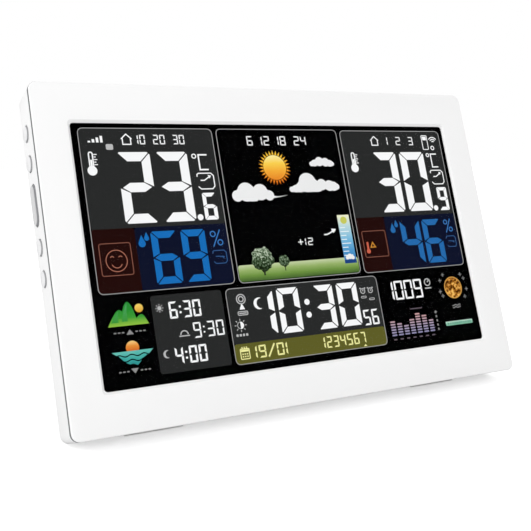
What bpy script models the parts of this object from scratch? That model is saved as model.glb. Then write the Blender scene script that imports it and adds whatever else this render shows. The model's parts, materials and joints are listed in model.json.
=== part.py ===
"""Home weather station: a leaning desk console with a display, side keys and a fold-out stand.

The case frame has X to the right, Y from the front face to the back and Z up along the face.
An empty leans that frame back and stands it on its feet. Run with Blender 4.5, in metres.
"""

import math

import bmesh
import bpy
from mathutils import Matrix, Vector

MM = 0.001
GAP = 0.3 * MM  # clearance kept between pieces that touch on the real object
PAST = 5 * MM  # how far a through cut runs past a surface

# Case, from the photograph's front face
CASE_WIDTH = 190 * MM
CASE_HEIGHT = 122.5 * MM
CASE_CORNER = 3 * MM
CASE_BACK = 16.9 * MM
CASE_EDGE = 2 * MM
WALL = 2.2 * MM
LEAN = math.radians(19.44)
HALF_WIDTH = CASE_WIDTH / 2
MIDDLE = CASE_HEIGHT / 2

# Raised middle of the back, as insets from the case outline at its foot and at its flat top
HUMP_BACK = 25 * MM
HUMP_CORNER = 9 * MM
HUMP_EDGE = 1.5 * MM
HUMP_START = 16 * MM
HUMP_FOOT_SIDE, HUMP_FOOT_TOP, HUMP_FOOT_BOTTOM = 8 * MM, 10 * MM, 8.5 * MM
HUMP_TAPER_SIDE, HUMP_TAPER_TOP, HUMP_TAPER_BOTTOM = 8 * MM, 4 * MM, 2.5 * MM

# Front cover, its window and the dark seam behind it
COVER_THICK = 1.8 * MM
COVER_RIM = 0.9 * MM  # thickness of the cover's edge, which laps over the housing's wall
COVER_EDGE = 0.5 * MM
SEAM = 1.1 * MM
RIM = COVER_RIM + SEAM  # where the rear housing begins
SKIRT_INSET = WALL + GAP
SKIRT_THICK = 1.5 * MM
SKIRT_BACK = 5 * MM
WINDOW_WIDTH = 164.3 * MM
WINDOW_HEIGHT = 93.4 * MM
WINDOW_CORNER = 1.3 * MM
WINDOW_BEVEL = 0.9 * MM
WINDOW_LIP = 1.2 * MM

# Display stack, each from its front to its back
LENS_OVERLAP = 2 * MM
LENS_FRONT, LENS_BACK = WINDOW_LIP + GAP, 2.7 * MM
GLASS_FRONT, GLASS_BACK = 3.1 * MM, 5.2 * MM
GUIDE_FRONT, GUIDE_BACK = 5.6 * MM, 8.1 * MM
SHEET_FRONT, SHEET_BACK = 8.4 * MM, 8.6 * MM
TRAY_FRONT, TRAY_BACK = 2.95 * MM, 10.1 * MM
TRAY_FLOOR = 1.2 * MM
TRAY_WALL = 0.9 * MM
TRAY_WIDTH = 171.4 * MM
TRAY_HEIGHT = 102.6 * MM
LED_COUNT = 8
LED_LENGTH = 3 * MM
LED_BAR_THICK, LED_BAR_DEEP = 0.7 * MM, 1.3 * MM
RIBBON_LEFT, RIBBON_RIGHT = 20 * MM, 50 * MM
RIBBON_THICK = 0.3 * MM

# Case screws, driven from the back into posts on the front cover
SCREW_ACROSS = 80 * MM
SCREW_UP = 55.05 * MM
SCREW_RADIUS = 1.3 * MM
SCREW_HEAD_RADIUS = 2.6 * MM
SCREW_HEAD = 1.8 * MM
SCREW_SEAT = 13.8 * MM
SCREW_TIP = 5 * MM
POST_RADIUS = 3 * MM
POST_BACK = 11 * MM
BOSS_RADIUS = 3.8 * MM

# Main board and what sits on it
BOARD_FRONT, BOARD_BACK = 12.6 * MM, 14.2 * MM
BOARD_HALF_WIDTH = 70 * MM
BOARD_LOW, BOARD_HIGH = 13 * MM, 60 * MM
BOARD_SCREW_ACROSS = 64 * MM
BOARD_SCREW_LOW, BOARD_SCREW_HIGH = 18 * MM, 55 * MM
BOARD_SCREW_RADIUS = 1 * MM
BOARD_BOSS_RADIUS = 2.6 * MM
ON_BOARD = BOARD_BACK + GAP
CHIP_X, CHIP_Z, CHIP_RADIUS, CHIP_HIGH = 0 * MM, 32 * MM, 5.5 * MM, 1.5 * MM
BAROMETER_X, BAROMETER_Z, BAROMETER_RADIUS, BAROMETER_HIGH = 24 * MM, 24 * MM, 2.5 * MM, 2 * MM
BUZZER_X, BUZZER_Z, BUZZER_RADIUS, BUZZER_HIGH = -52 * MM, 47 * MM, 6 * MM, 5 * MM
RADIO_X, RADIO_Z, RADIO_WIDTH, RADIO_HEIGHT = 48.5 * MM, 50 * MM, 19 * MM, 12 * MM
RADIO_LIFT, RADIO_THICK = 1 * MM, 1.1 * MM
COIL_RADIUS, COIL_WIRE, COIL_TURNS, COIL_LENGTH = 2.1 * MM, 0.6 * MM, 8, 14 * MM
JACK_X, JACK_Z = 58 * MM, 30 * MM
JACK_RADIUS, JACK_BORE, JACK_PIN = 3.8 * MM, 2.9 * MM, 1 * MM
JACK_BASE_WIDTH, JACK_BASE_HEIGHT, JACK_BASE_BACK = 10 * MM, 11 * MM, 20 * MM
JACK_FLOOR, JACK_MOUTH = 16 * MM, 24.6 * MM

# Room sensor behind its vents
SENSOR_X, SENSOR_Z, SENSOR_WIDTH, SENSOR_HEIGHT = -62 * MM, 27 * MM, 18 * MM, 14 * MM
SENSOR_FRONT, SENSOR_BACK = 20 * MM, 21 * MM
SENSOR_CHIP, SENSOR_CHIP_HIGH = 5 * MM, 1.2 * MM
SENSOR_POST_RADIUS, SENSOR_POST_IN = 1.6 * MM, 2 * MM
VENT_COUNT, VENT_STEP, VENT_WIDTH, VENT_LENGTH = 6, 4 * MM, 1.6 * MM, 16 * MM
SOUND_HOLES, SOUND_RING, SOUND_RADIUS = 6, 3.2 * MM, 0.9 * MM

# Wall-hanging keyholes
KEYHOLE_X, KEYHOLE_Z = 58 * MM, 90 * MM
KEYHOLE_RADIUS, KEYHOLE_SLOT, KEYHOLE_RISE = 4.25 * MM, 2.2 * MM, 7 * MM

# Side keys on the left wall, spaced about the long key
KEY_Y = 9.6 * MM
KEY_MIDDLE_Z = 81.15 * MM
KEY_STEPS = (25.7 * MM, 14.8 * MM, -14.8 * MM, -25.7 * MM)
KEY_RADIUS = 2.8 * MM
KEY_PROUD = 0.7 * MM
KEY_EDGE = 0.4 * MM
KEY_FLANGE_RADIUS, KEY_FLANGE = 3.9 * MM, 1 * MM
KEY_FLANGE_BACK = 3.6 * MM  # from the outer face of the wall
KEY_TRAVEL_GAP = 0.6 * MM
ROCKER_LENGTH = 14.5 * MM
ROCKER_INNER = 2.1 * MM
ROCKER_AXIS = 3.8 * MM
ROCKER_SLACK = 0.45 * MM
ROCKER_BOSS, ROCKER_BOSS_HALF = 1.6 * MM, 1.9 * MM
ROCKER_PLUNGER, ROCKER_PLUNGER_Z = 1.2 * MM, 5 * MM
ROCKER_PIN, ROCKER_PIN_HALF = 0.65 * MM, 3.9 * MM
BRACKET_NEAR, BRACKET_FAR = 2.2 * MM, 3.9 * MM
BRACKET_DEEP, BRACKET_HALF = 5.6 * MM, 1.8 * MM
SWITCH_TIP = KEY_FLANGE_BACK + KEY_TRAVEL_GAP
SWITCH_BUTTON, SWITCH_BUTTON_HIGH = 1.1 * MM, 1 * MM
SWITCH_SIDE, SWITCH_BODY = 4.4 * MM, 2.2 * MM
KEYBOARD_FRONT, KEYBOARD_BACK = 5.5 * MM, 14 * MM
KEYBOARD_LOW, KEYBOARD_HIGH, KEYBOARD_THICK = 49 * MM, 113.2 * MM, 1 * MM
RAIL_LONG, RAIL_FRONT, RAIL_THICK = 3 * MM, 11.5 * MM, 1 * MM

# Fold-out stand, open on its stop
STAND_OPEN = math.radians(35)
STAND_AXIS_Y, STAND_AXIS_Z = 22.2 * MM, 60 * MM
STAND_ROOT_HALF, STAND_TIP_HALF, STAND_TAPER_FROM = 33 * MM, 28 * MM, -8 * MM
STAND_INNER, STAND_OUTER = -0.5 * MM, 2.5 * MM
STAND_BARREL, STAND_HEEL = 2.4 * MM, 3.6 * MM
STAND_PIN, STAND_PIN_HALF = 1 * MM, 36 * MM
STAND_GRIP_WIDTH, STAND_GRIP_LOW, STAND_GRIP_HIGH, STAND_GRIP_DEEP = 30 * MM, -48 * MM, -34 * MM, 1 * MM
PAD_THICK = 1.7 * MM
PAD_HALF = 26 * MM
POCKET_HALF, POCKET_LOW, POCKET_WALL = 38 * MM, 11.2 * MM, 1.9 * MM
RECESS_SIDE = 0.6 * MM

# Battery bay and its door
CELL_LENGTH, CELL_RADIUS, CELL_STEP = 44.5 * MM, 5.25 * MM, 11 * MM
CELL_NUB_RADIUS, CELL_NUB = 2.6 * MM, 1 * MM
CELL_Y, CELL_MIDDLE_Z = 17.25 * MM, 86.5 * MM
BAY_HALF, BAY_LOW, BAY_HIGH = 25.5 * MM, 69.5 * MM, 103.5 * MM
BAY_FLOOR_FRONT, BAY_FLOOR_BACK = 10.5 * MM, 11.7 * MM
BAY_BLOCK_HALF, BAY_BLOCK_LOW, BAY_BLOCK_HIGH = 30 * MM, 66 * MM, 106.8 * MM
PLATE_THICK, PLATE_HALF, PLATE_FRONT, PLATE_BACK = 0.5 * MM, 4.6 * MM, 12.4 * MM, 22 * MM
SPRING_WIRE, SPRING_TURNS = 0.6 * MM, 3.5
SPRING_WIDE, SPRING_NARROW = 3.4 * MM, 2 * MM
DOOR_HALF, DOOR_LOW, DOOR_HIGH = 28 * MM, 67.6 * MM, 104.9 * MM
DOOR_THICK, DOOR_CORNER = 1.7 * MM, 2 * MM
TAB_X, TAB_HALF = 14 * MM, 3 * MM
TAB_NEAR, TAB_FAR, TAB_LEG = 2.3 * MM, 3.3 * MM, -4.4 * MM
TAB_TOE = -3 * MM
TAB_GRIP = 0.9 * MM  # how far the housing's lip reaches over a tab's toe
LATCH_HALF, LATCH_NEAR, LATCH_FAR, LATCH_DEEP = 5 * MM, 34.2 * MM, 35.4 * MM, -4.4 * MM
GRIP_COUNT, GRIP_STEP, GRIP_HALF, GRIP_WIDE, GRIP_DEEP = 4, 2 * MM, 7 * MM, 0.9 * MM, 0.5 * MM

# Feet under the back edge
FOOT_CLEAR = 0.35 * MM
FOOT_X, FOOT_HALF = 62 * MM, 11 * MM
FOOT_FRONT, FOOT_BACK, FOOT_TOP = 14.6 * MM, 16.4 * MM, 1.2 * MM

# Height of the case frame above the floor, and the shift that centres the footprint
EDGE_DROP = (CASE_BACK - CASE_EDGE) * math.sin(LEAN) + CASE_EDGE * (1 - math.cos(LEAN))
CASE_LIFT = EDGE_DROP + FOOT_CLEAR
CASE_FORWARD = 29.706 * MM

# Turns that point a turned piece's top to a side of the case
TO_BACK = (-math.pi / 2, 0, 0)
TO_LEFT = (0, -math.pi / 2, 0)
TO_RIGHT = (0, math.pi / 2, 0)


def clear_scene():
    for item in list(bpy.data.objects):
        bpy.data.objects.remove(item, do_unlink=True)


def new_collection(name):
    group = bpy.data.collections.new(name)
    bpy.context.scene.collection.children.link(group)
    return group


def finish(name, colour, roughness, metallic=0.0):
    """A Principled material in one colour."""
    material = bpy.data.materials.new(name)
    material.use_nodes = True
    shader = material.node_tree.nodes["Principled BSDF"]
    shader.inputs["Base Color"].default_value = (*colour, 1.0)
    shader.inputs["Roughness"].default_value = roughness
    shader.inputs["Metallic"].default_value = metallic
    return material


def new_empty(name, location, turn=(0, 0, 0), parent=None):
    empty = bpy.data.objects.new(name, None)
    PARTS.objects.link(empty)
    empty.location = location
    empty.rotation_euler = turn
    empty.parent = parent
    return empty


def block(low, high):
    """A box between two corners."""
    low, high = Vector(low), Vector(high)
    shape = bmesh.new()
    place = Matrix.Translation((low + high) / 2) @ Matrix.Diagonal((*(high - low), 1))
    bmesh.ops.create_cube(shape, size=1, matrix=place)
    return shape


def rounded_block(low, high, corner, steps=5):
    """A box with its four edges along Y rounded."""
    shape = block(low, high)
    along_y = [e for e in shape.edges if abs(e.verts[0].co.y - e.verts[1].co.y) > GAP]
    bmesh.ops.bevel(shape, geom=along_y, offset=corner, segments=steps, profile=0.5, affect="EDGES")
    return shape


def at_depth(vert, level):
    return abs(vert.co.y - level) < GAP / 10


def spread_face(shape, level, side, top, bottom):
    """Moves the face at one depth outward from the middle, or inward for less than nothing."""
    for vert in shape.verts:
        if at_depth(vert, level):
            vert.co.x += side if vert.co.x > 0 else -side
            vert.co.z += top if vert.co.z > MIDDLE else -bottom
    return shape


def soften_rim(shape, level, radius, steps=3):
    """Rounds the edge all round the face at one depth."""
    rim = [e for e in shape.edges if all(at_depth(v, level) for v in e.verts)]
    bmesh.ops.bevel(shape, geom=rim, offset=radius, segments=steps, profile=0.5, affect="EDGES")
    return shape


def rod(start, end, radius, sides=16):
    """A round bar between two points."""
    start, end = Vector(start), Vector(end)
    run = end - start
    shape = bmesh.new()
    place = Matrix.Translation((start + end) / 2) @ run.to_track_quat("Z", "Y").to_matrix().to_4x4()
    bmesh.ops.create_cone(
        shape,
        cap_ends=True,
        segments=sides,
        radius1=radius,
        radius2=radius,
        depth=run.length,
        matrix=place,
    )
    return shape


def arc(middle, radius, start, end, steps):
    """Points along an arc, with its angles in degrees."""
    angles = [math.radians(start + (end - start) * i / steps) for i in range(steps + 1)]
    return [(middle[0] + radius * math.cos(a), middle[1] + radius * math.sin(a)) for a in angles]


def circle(middle, radius, steps=12):
    return arc(middle, radius, 0, 360, steps)[:-1]


def rounded_rectangle(low, high, corner, steps=4):
    left, right = low[0] + corner, high[0] - corner
    under, over = low[1] + corner, high[1] - corner
    return (
        arc((right, over), corner, 0, 90, steps)
        + arc((left, over), corner, 90, 180, steps)
        + arc((left, under), corner, 180, 270, steps)
        + arc((right, under), corner, 270, 360, steps)
    )


def stadium(middle, half_width, length, steps=6):
    """An upright slot outline with round ends."""
    reach = length / 2 - half_width
    over = (middle[0], middle[1] + reach)
    under = (middle[0], middle[1] - reach)
    return arc(over, half_width, 0, 180, steps) + arc(under, half_width, 180, 360, steps)


def keyhole(middle, radius, slot, rise):
    """A round hole with a narrower slot above it."""
    opening = math.degrees(math.acos(slot / radius))
    end = (middle[0], middle[1] + rise)
    return arc(middle, radius, 180 - opening, 360 + opening, 14) + arc(end, slot, 0, 180, 6)


def slab(outlines, low, high, axis="Y"):
    """Flat outlines made thick along Y, where they are drawn in X and Z, or along X, in Y and Z."""
    curve = bpy.data.curves.new("outline", "CURVE")
    curve.dimensions = "2D"
    curve.fill_mode = "BOTH"
    curve.extrude = (high - low) / 2
    for outline in outlines:
        spline = curve.splines.new("POLY")
        spline.points.add(len(outline) - 1)
        for point, (across, up) in zip(spline.points, outline):
            point.co = (across, up, 0, 1)
        spline.use_cyclic_u = True
    holder = bpy.data.objects.new("outline", curve)
    CUTTERS.objects.link(holder)
    evaluated = holder.evaluated_get(bpy.context.evaluated_depsgraph_get())
    mesh = bpy.data.meshes.new_from_object(evaluated)
    shape = bmesh.new()
    shape.from_mesh(mesh)
    bpy.data.objects.remove(holder)
    bpy.data.curves.remove(curve)
    bpy.data.meshes.remove(mesh)
    bmesh.ops.remove_doubles(shape, verts=shape.verts, dist=0.001 * MM)
    middle = (low + high) / 2
    if axis == "Y":
        place = Matrix(((1, 0, 0, 0), (0, 0, -1, middle), (0, 1, 0, 0), (0, 0, 0, 1)))
    else:
        place = Matrix(((0, 0, 1, middle), (1, 0, 0, 0), (0, 1, 0, 0), (0, 0, 0, 1)))
    bmesh.ops.transform(shape, matrix=place, verts=shape.verts)
    return shape


def to_mesh(name, shapes):
    """One mesh from several shapes, each facing out."""
    whole = bmesh.new()
    for shape in shapes:
        single = bpy.data.meshes.new("single")
        shape.to_mesh(single)
        shape.free()
        whole.from_mesh(single)
        bpy.data.meshes.remove(single)
    bmesh.ops.recalc_face_normals(whole, faces=whole.faces)
    mesh = bpy.data.meshes.new(name)
    whole.to_mesh(mesh)
    whole.free()
    return mesh


def add_piece(name, look, shape, parent, origin=(0, 0, 0)):
    """One sub-part as its own object, shaded smooth but for its sharp edges."""
    mesh = to_mesh(name, [shape])
    mesh.shade_smooth()
    mesh.set_sharp_from_angle(angle=math.radians(35))
    mesh.materials.append(look)
    piece = bpy.data.objects.new(name, mesh)
    PARTS.objects.link(piece)
    piece.parent = parent
    piece.location = origin
    return piece


def reshape(piece, label, operation, *shapes):
    """A Boolean step on a piece, by a hidden tool in the piece's own frame."""
    tool = bpy.data.objects.new(f"{piece.name}_{label}", to_mesh(label, shapes))
    CUTTERS.objects.link(tool)
    tool.parent = piece
    tool.hide_render = True
    tool.display_type = "WIRE"
    step = piece.modifiers.new(label, "BOOLEAN")
    step.operation = operation
    step.object = tool


def add_on(piece, label, *shapes):
    reshape(piece, label, "UNION", *shapes)


def cut(piece, label, *shapes):
    reshape(piece, label, "DIFFERENCE", *shapes)


def turned(name, look, profile, steps, parent, origin, turn):
    """A profile of radius and height, from its top to its bottom, spun about its own Z."""
    mesh = bpy.data.meshes.new(name)
    points = [(radius, 0, height) for radius, height in profile]
    mesh.from_pydata(points, [(i, i + 1) for i in range(len(points) - 1)], [])
    mesh.materials.append(look)
    piece = bpy.data.objects.new(name, mesh)
    PARTS.objects.link(piece)
    piece.parent = parent
    piece.location = origin
    piece.rotation_euler = turn
    spin = piece.modifiers.new("spin", "SCREW")
    spin.steps = steps
    spin.render_steps = steps
    spin.use_merge_vertices = True
    spin.merge_threshold = 0.001 * MM
    return piece


def wire(name, look, points, thickness, parent, origin=(0, 0, 0)):
    """A round wire through a row of points."""
    curve = bpy.data.curves.new(name, "CURVE")
    curve.dimensions = "3D"
    curve.bevel_depth = thickness / 2
    curve.bevel_resolution = 1
    curve.use_fill_caps = True
    spline = curve.splines.new("POLY")
    spline.points.add(len(points) - 1)
    for point, place in zip(spline.points, points):
        point.co = (*place, 1)
    curve.materials.append(look)
    piece = bpy.data.objects.new(name, curve)
    PARTS.objects.link(piece)
    piece.parent = parent
    piece.location = origin
    return piece


def floor_under(depth):
    """Height of the floor in the case frame, at a depth behind the front face."""
    return depth * math.tan(LEAN) - CASE_LIFT / math.cos(LEAN)


def screw_places():
    """Middles of the six case screws, bottom row first."""
    return [
        (across * SCREW_ACROSS, MIDDLE + up * SCREW_UP) for up in (-1, 1) for across in (-1, 0, 1)
    ]


def board_screw_places():
    return [
        (side * BOARD_SCREW_ACROSS, up) for up in (BOARD_SCREW_LOW, BOARD_SCREW_HIGH) for side in (-1, 1)
    ]


def key_places():
    """Heights of the four round keys, top first."""
    return [KEY_MIDDLE_Z + step for step in KEY_STEPS]


def window_outline(grow):
    """Corners of the window opening, grown all round."""
    half_width, half_height = WINDOW_WIDTH / 2 + grow, WINDOW_HEIGHT / 2 + grow
    return (-half_width, MIDDLE - half_height), (half_width, MIDDLE + half_height)


def add_front_cover(case):
    plate = rounded_block((-HALF_WIDTH, 0, 0), (HALF_WIDTH, COVER_RIM, CASE_HEIGHT), CASE_CORNER, 6)
    cover = add_piece("front_cover", GLOSS_WHITE, soften_rim(plate, 0, COVER_EDGE), case)
    skirt, inside = (
        rounded_rectangle((-HALF_WIDTH + d, d), (HALF_WIDTH - d, CASE_HEIGHT - d), CASE_CORNER - d / 2)
        for d in (SKIRT_INSET, SKIRT_INSET + SKIRT_THICK)
    )
    add_on(cover, "skirt", slab([skirt], COVER_RIM - GAP, SKIRT_BACK))
    cut(cover, "skirt_inside", slab([inside], COVER_THICK, SKIRT_BACK + PAST))
    posts = [rod((x, COVER_THICK - 2 * GAP, z), (x, POST_BACK, z), POST_RADIUS) for x, z in screw_places()]
    add_on(cover, "screw_posts", *posts)
    pilots = [
        rod((x, SCREW_TIP - GAP, z), (x, POST_BACK + PAST, z), SCREW_RADIUS + GAP, 12)
        for x, z in screw_places()
    ]
    cut(cover, "screw_pilots", *pilots)
    low, high = window_outline(0)
    opening = rounded_block((low[0], -PAST, low[1]), (high[0], PAST, high[1]), WINDOW_CORNER, 4)
    cut(cover, "window", opening)
    slope_start = -WINDOW_BEVEL
    slope = rounded_block((low[0], slope_start, low[1]), (high[0], WINDOW_BEVEL, high[1]), WINDOW_CORNER, 4)
    spread = 2 * WINDOW_BEVEL
    cut(cover, "window_slope", spread_face(slope, slope_start, spread, spread, spread))
    low, high = window_outline(LENS_OVERLAP + GAP)
    cut(cover, "lens_seat", block((low[0], WINDOW_LIP, low[1]), (high[0], PAST + GAP, high[1])))


def add_display(case):
    """The clear window and the lit display stack behind it."""
    low, high = window_outline(LENS_OVERLAP)
    add_piece("window_lens", CLEAR, block((low[0], LENS_FRONT, low[1]), (high[0], LENS_BACK, high[1])), case)
    half, under, over = TRAY_WIDTH / 2, MIDDLE - TRAY_HEIGHT / 2, MIDDLE + TRAY_HEIGHT / 2
    tray = add_piece(
        "backlight_tray", WHITE_PLASTIC, block((-half, TRAY_FRONT, under), (half, TRAY_BACK, over)), case
    )
    bosses = [
        rod((x, TRAY_BACK - 2 * GAP, z), (x, BOARD_FRONT - GAP, z), BOARD_BOSS_RADIUS, 12)
        for x, z in board_screw_places()
    ]
    add_on(tray, "board_bosses", *bosses)
    inside = TRAY_WALL
    floor = TRAY_BACK - TRAY_FLOOR
    cut(
        tray,
        "inside",
        block((-half + inside, -PAST, under + inside), (half - inside, floor, over - inside)),
    )
    pilots = [
        rod((x, TRAY_BACK, z), (x, BOARD_FRONT + GAP, z), BOARD_SCREW_RADIUS + GAP, 10)
        for x, z in board_screw_places()
    ]
    cut(tray, "board_pilots", *pilots)
    cut(
        tray,
        "ribbon_slot",
        block(
            (RIBBON_LEFT - GAP, GLASS_BACK - 2 * GAP, under - PAST),
            (RIBBON_RIGHT + GAP, GLASS_BACK + 4 * GAP, under + inside + GAP),
        ),
    )
    edge = inside + GAP
    glass_low, glass_high = under + edge, over - edge
    add_piece(
        "lcd_glass",
        DARK_GLASS,
        block((-half + edge, GLASS_FRONT, glass_low), (half - edge, GLASS_BACK, glass_high)),
        case,
    )
    strip_left = -half + edge
    guide_left = strip_left + LED_BAR_DEEP + GAP
    ribbon_room = 3 * GAP
    add_piece(
        "light_guide",
        CLEAR,
        block(
            (guide_left, GUIDE_FRONT, glass_low + ribbon_room),
            (half - edge, GUIDE_BACK, glass_high),
        ),
        case,
    )
    add_piece(
        "reflector_sheet",
        WHITE_PLASTIC,
        block((-half + edge, SHEET_FRONT, glass_low), (half - edge, SHEET_BACK, glass_high)),
        case,
    )
    pitch = (glass_high - glass_low) / LED_COUNT
    edge_line = []
    for i in range(LED_COUNT):
        middle = glass_low + (i + 0.5) * pitch
        under_led, over_led = middle - LED_LENGTH / 2, middle + LED_LENGTH / 2
        edge_line += [(strip_left + LED_BAR_THICK, under_led), (strip_left + LED_BAR_DEEP, under_led)]
        edge_line += [(strip_left + LED_BAR_DEEP, over_led), (strip_left + LED_BAR_THICK, over_led)]
    outline = [(strip_left + LED_BAR_THICK, glass_low), *edge_line]
    outline += [(strip_left + LED_BAR_THICK, glass_high), (strip_left, glass_high), (strip_left, glass_low)]
    add_piece("led_strip", LAMP_WHITE, slab([outline], GUIDE_FRONT, GUIDE_BACK), case)
    add_ribbon(case, glass_low, under)


def add_ribbon(case, glass_low, tray_under):
    """A flat lead from the display's lower edge, under the tray and up in front of the board."""
    thick = RIBBON_THICK
    near = GLASS_BACK + GAP / 3
    far = BOARD_FRONT - GAP
    low = tray_under - 3 * GAP
    top = glass_low + 2 * GAP
    end = BOARD_LOW + 3 * MM
    outline = [
        (near, top),
        (near, low - thick),
        (far, low - thick),
        (far, end),
        (far - thick, end),
        (far - thick, low),
        (near + thick, low),
        (near + thick, top),
    ]
    add_piece("display_ribbon", AMBER_FILM, slab([outline], RIBBON_LEFT, RIBBON_RIGHT, "X"), case)


def hump(inset, back):
    """The raised middle of the back, or with an inset the room inside it."""
    low = (-HALF_WIDTH + HUMP_FOOT_SIDE + inset, HUMP_START - inset, HUMP_FOOT_BOTTOM + inset)
    high = (HALF_WIDTH - HUMP_FOOT_SIDE - inset, back, CASE_HEIGHT - HUMP_FOOT_TOP - inset)
    shape = rounded_block(low, high, HUMP_CORNER - inset)
    return spread_face(shape, back, -HUMP_TAPER_SIDE, -HUMP_TAPER_TOP, -HUMP_TAPER_BOTTOM)


def stand_floor():
    """Depth of the recess floor on which the stand's heel stops."""
    reach = -STAND_INNER * math.cos(STAND_OPEN) + STAND_HEEL * math.sin(STAND_OPEN)
    return STAND_AXIS_Y - reach - GAP


def stand_recess_top():
    return STAND_AXIS_Z + math.hypot(STAND_OUTER, STAND_HEEL) + GAP


def add_rear_housing(case):
    shell = rounded_block((-HALF_WIDTH, RIM, 0), (HALF_WIDTH, CASE_BACK, CASE_HEIGHT), CASE_CORNER, 6)
    housing = add_piece("rear_housing", SATIN_WHITE, soften_rim(shell, CASE_BACK, CASE_EDGE), case)
    add_on(housing, "hump", soften_rim(hump(0, HUMP_BACK), HUMP_BACK, HUMP_EDGE))
    room = rounded_block(
        (-HALF_WIDTH + WALL, -PAST, WALL),
        (HALF_WIDTH - WALL, CASE_BACK - WALL, CASE_HEIGHT - WALL),
        CASE_CORNER - WALL,
        3,
    )
    cut(housing, "room", room)
    cut(housing, "hump_room", hump(WALL, HUMP_BACK - WALL))
    recess_floor, recess_top = stand_floor(), stand_recess_top()
    pocket = block(
        (-POCKET_HALF, recess_floor - POCKET_WALL, POCKET_LOW),
        (POCKET_HALF, HUMP_BACK - WALL / 2, recess_top + POCKET_WALL),
    )
    add_on(housing, "stand_pocket", pocket)
    bay = block(
        (-BAY_BLOCK_HALF, BAY_FLOOR_FRONT, BAY_BLOCK_LOW),
        (BAY_BLOCK_HALF, HUMP_BACK - WALL / 2, BAY_BLOCK_HIGH),
    )
    add_on(housing, "battery_bay", bay)
    add_on(housing, "bosses_and_posts", *housing_bosses())
    cut_back_openings(housing, recess_floor, recess_top)
    cut_key_openings(housing)


def housing_bosses():
    """Screw bosses, sensor posts, key board rails and the rocker's brackets."""
    inner = CASE_BACK - WALL / 2
    shapes = [rod((x, POST_BACK + GAP, z), (x, inner, z), BOSS_RADIUS) for x, z in screw_places()]
    reach_x = SENSOR_WIDTH / 2 - SENSOR_POST_IN
    reach_z = SENSOR_HEIGHT / 2 - SENSOR_POST_IN
    for side in (-1, 1):
        x, z = SENSOR_X + side * reach_x, SENSOR_Z + side * reach_z
        start, end = SENSOR_BACK + GAP, HUMP_BACK - WALL / 2
        shapes.append(rod((x, start, z), (x, end, z), SENSOR_POST_RADIUS, 10))
    board_left = -HALF_WIDTH + SWITCH_TIP + SWITCH_BUTTON_HIGH + SWITCH_BODY + GAP
    board_right = board_left + KEYBOARD_THICK
    for z in (KEYBOARD_LOW, KEYBOARD_HIGH - RAIL_LONG):
        for start in (board_left - GAP - RAIL_THICK, board_right + GAP):
            shapes.append(block((start, RAIL_FRONT, z), (start + RAIL_THICK, inner, z + RAIL_LONG)))
    for side in (-1, 1):
        near, far = sorted((KEY_Y + side * BRACKET_NEAR, KEY_Y + side * BRACKET_FAR))
        shapes.append(
            block(
                (-HALF_WIDTH + WALL / 2, near, KEY_MIDDLE_Z - BRACKET_HALF),
                (-HALF_WIDTH + BRACKET_DEEP, far, KEY_MIDDLE_Z + BRACKET_HALF),
            )
        )
    return shapes


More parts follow.
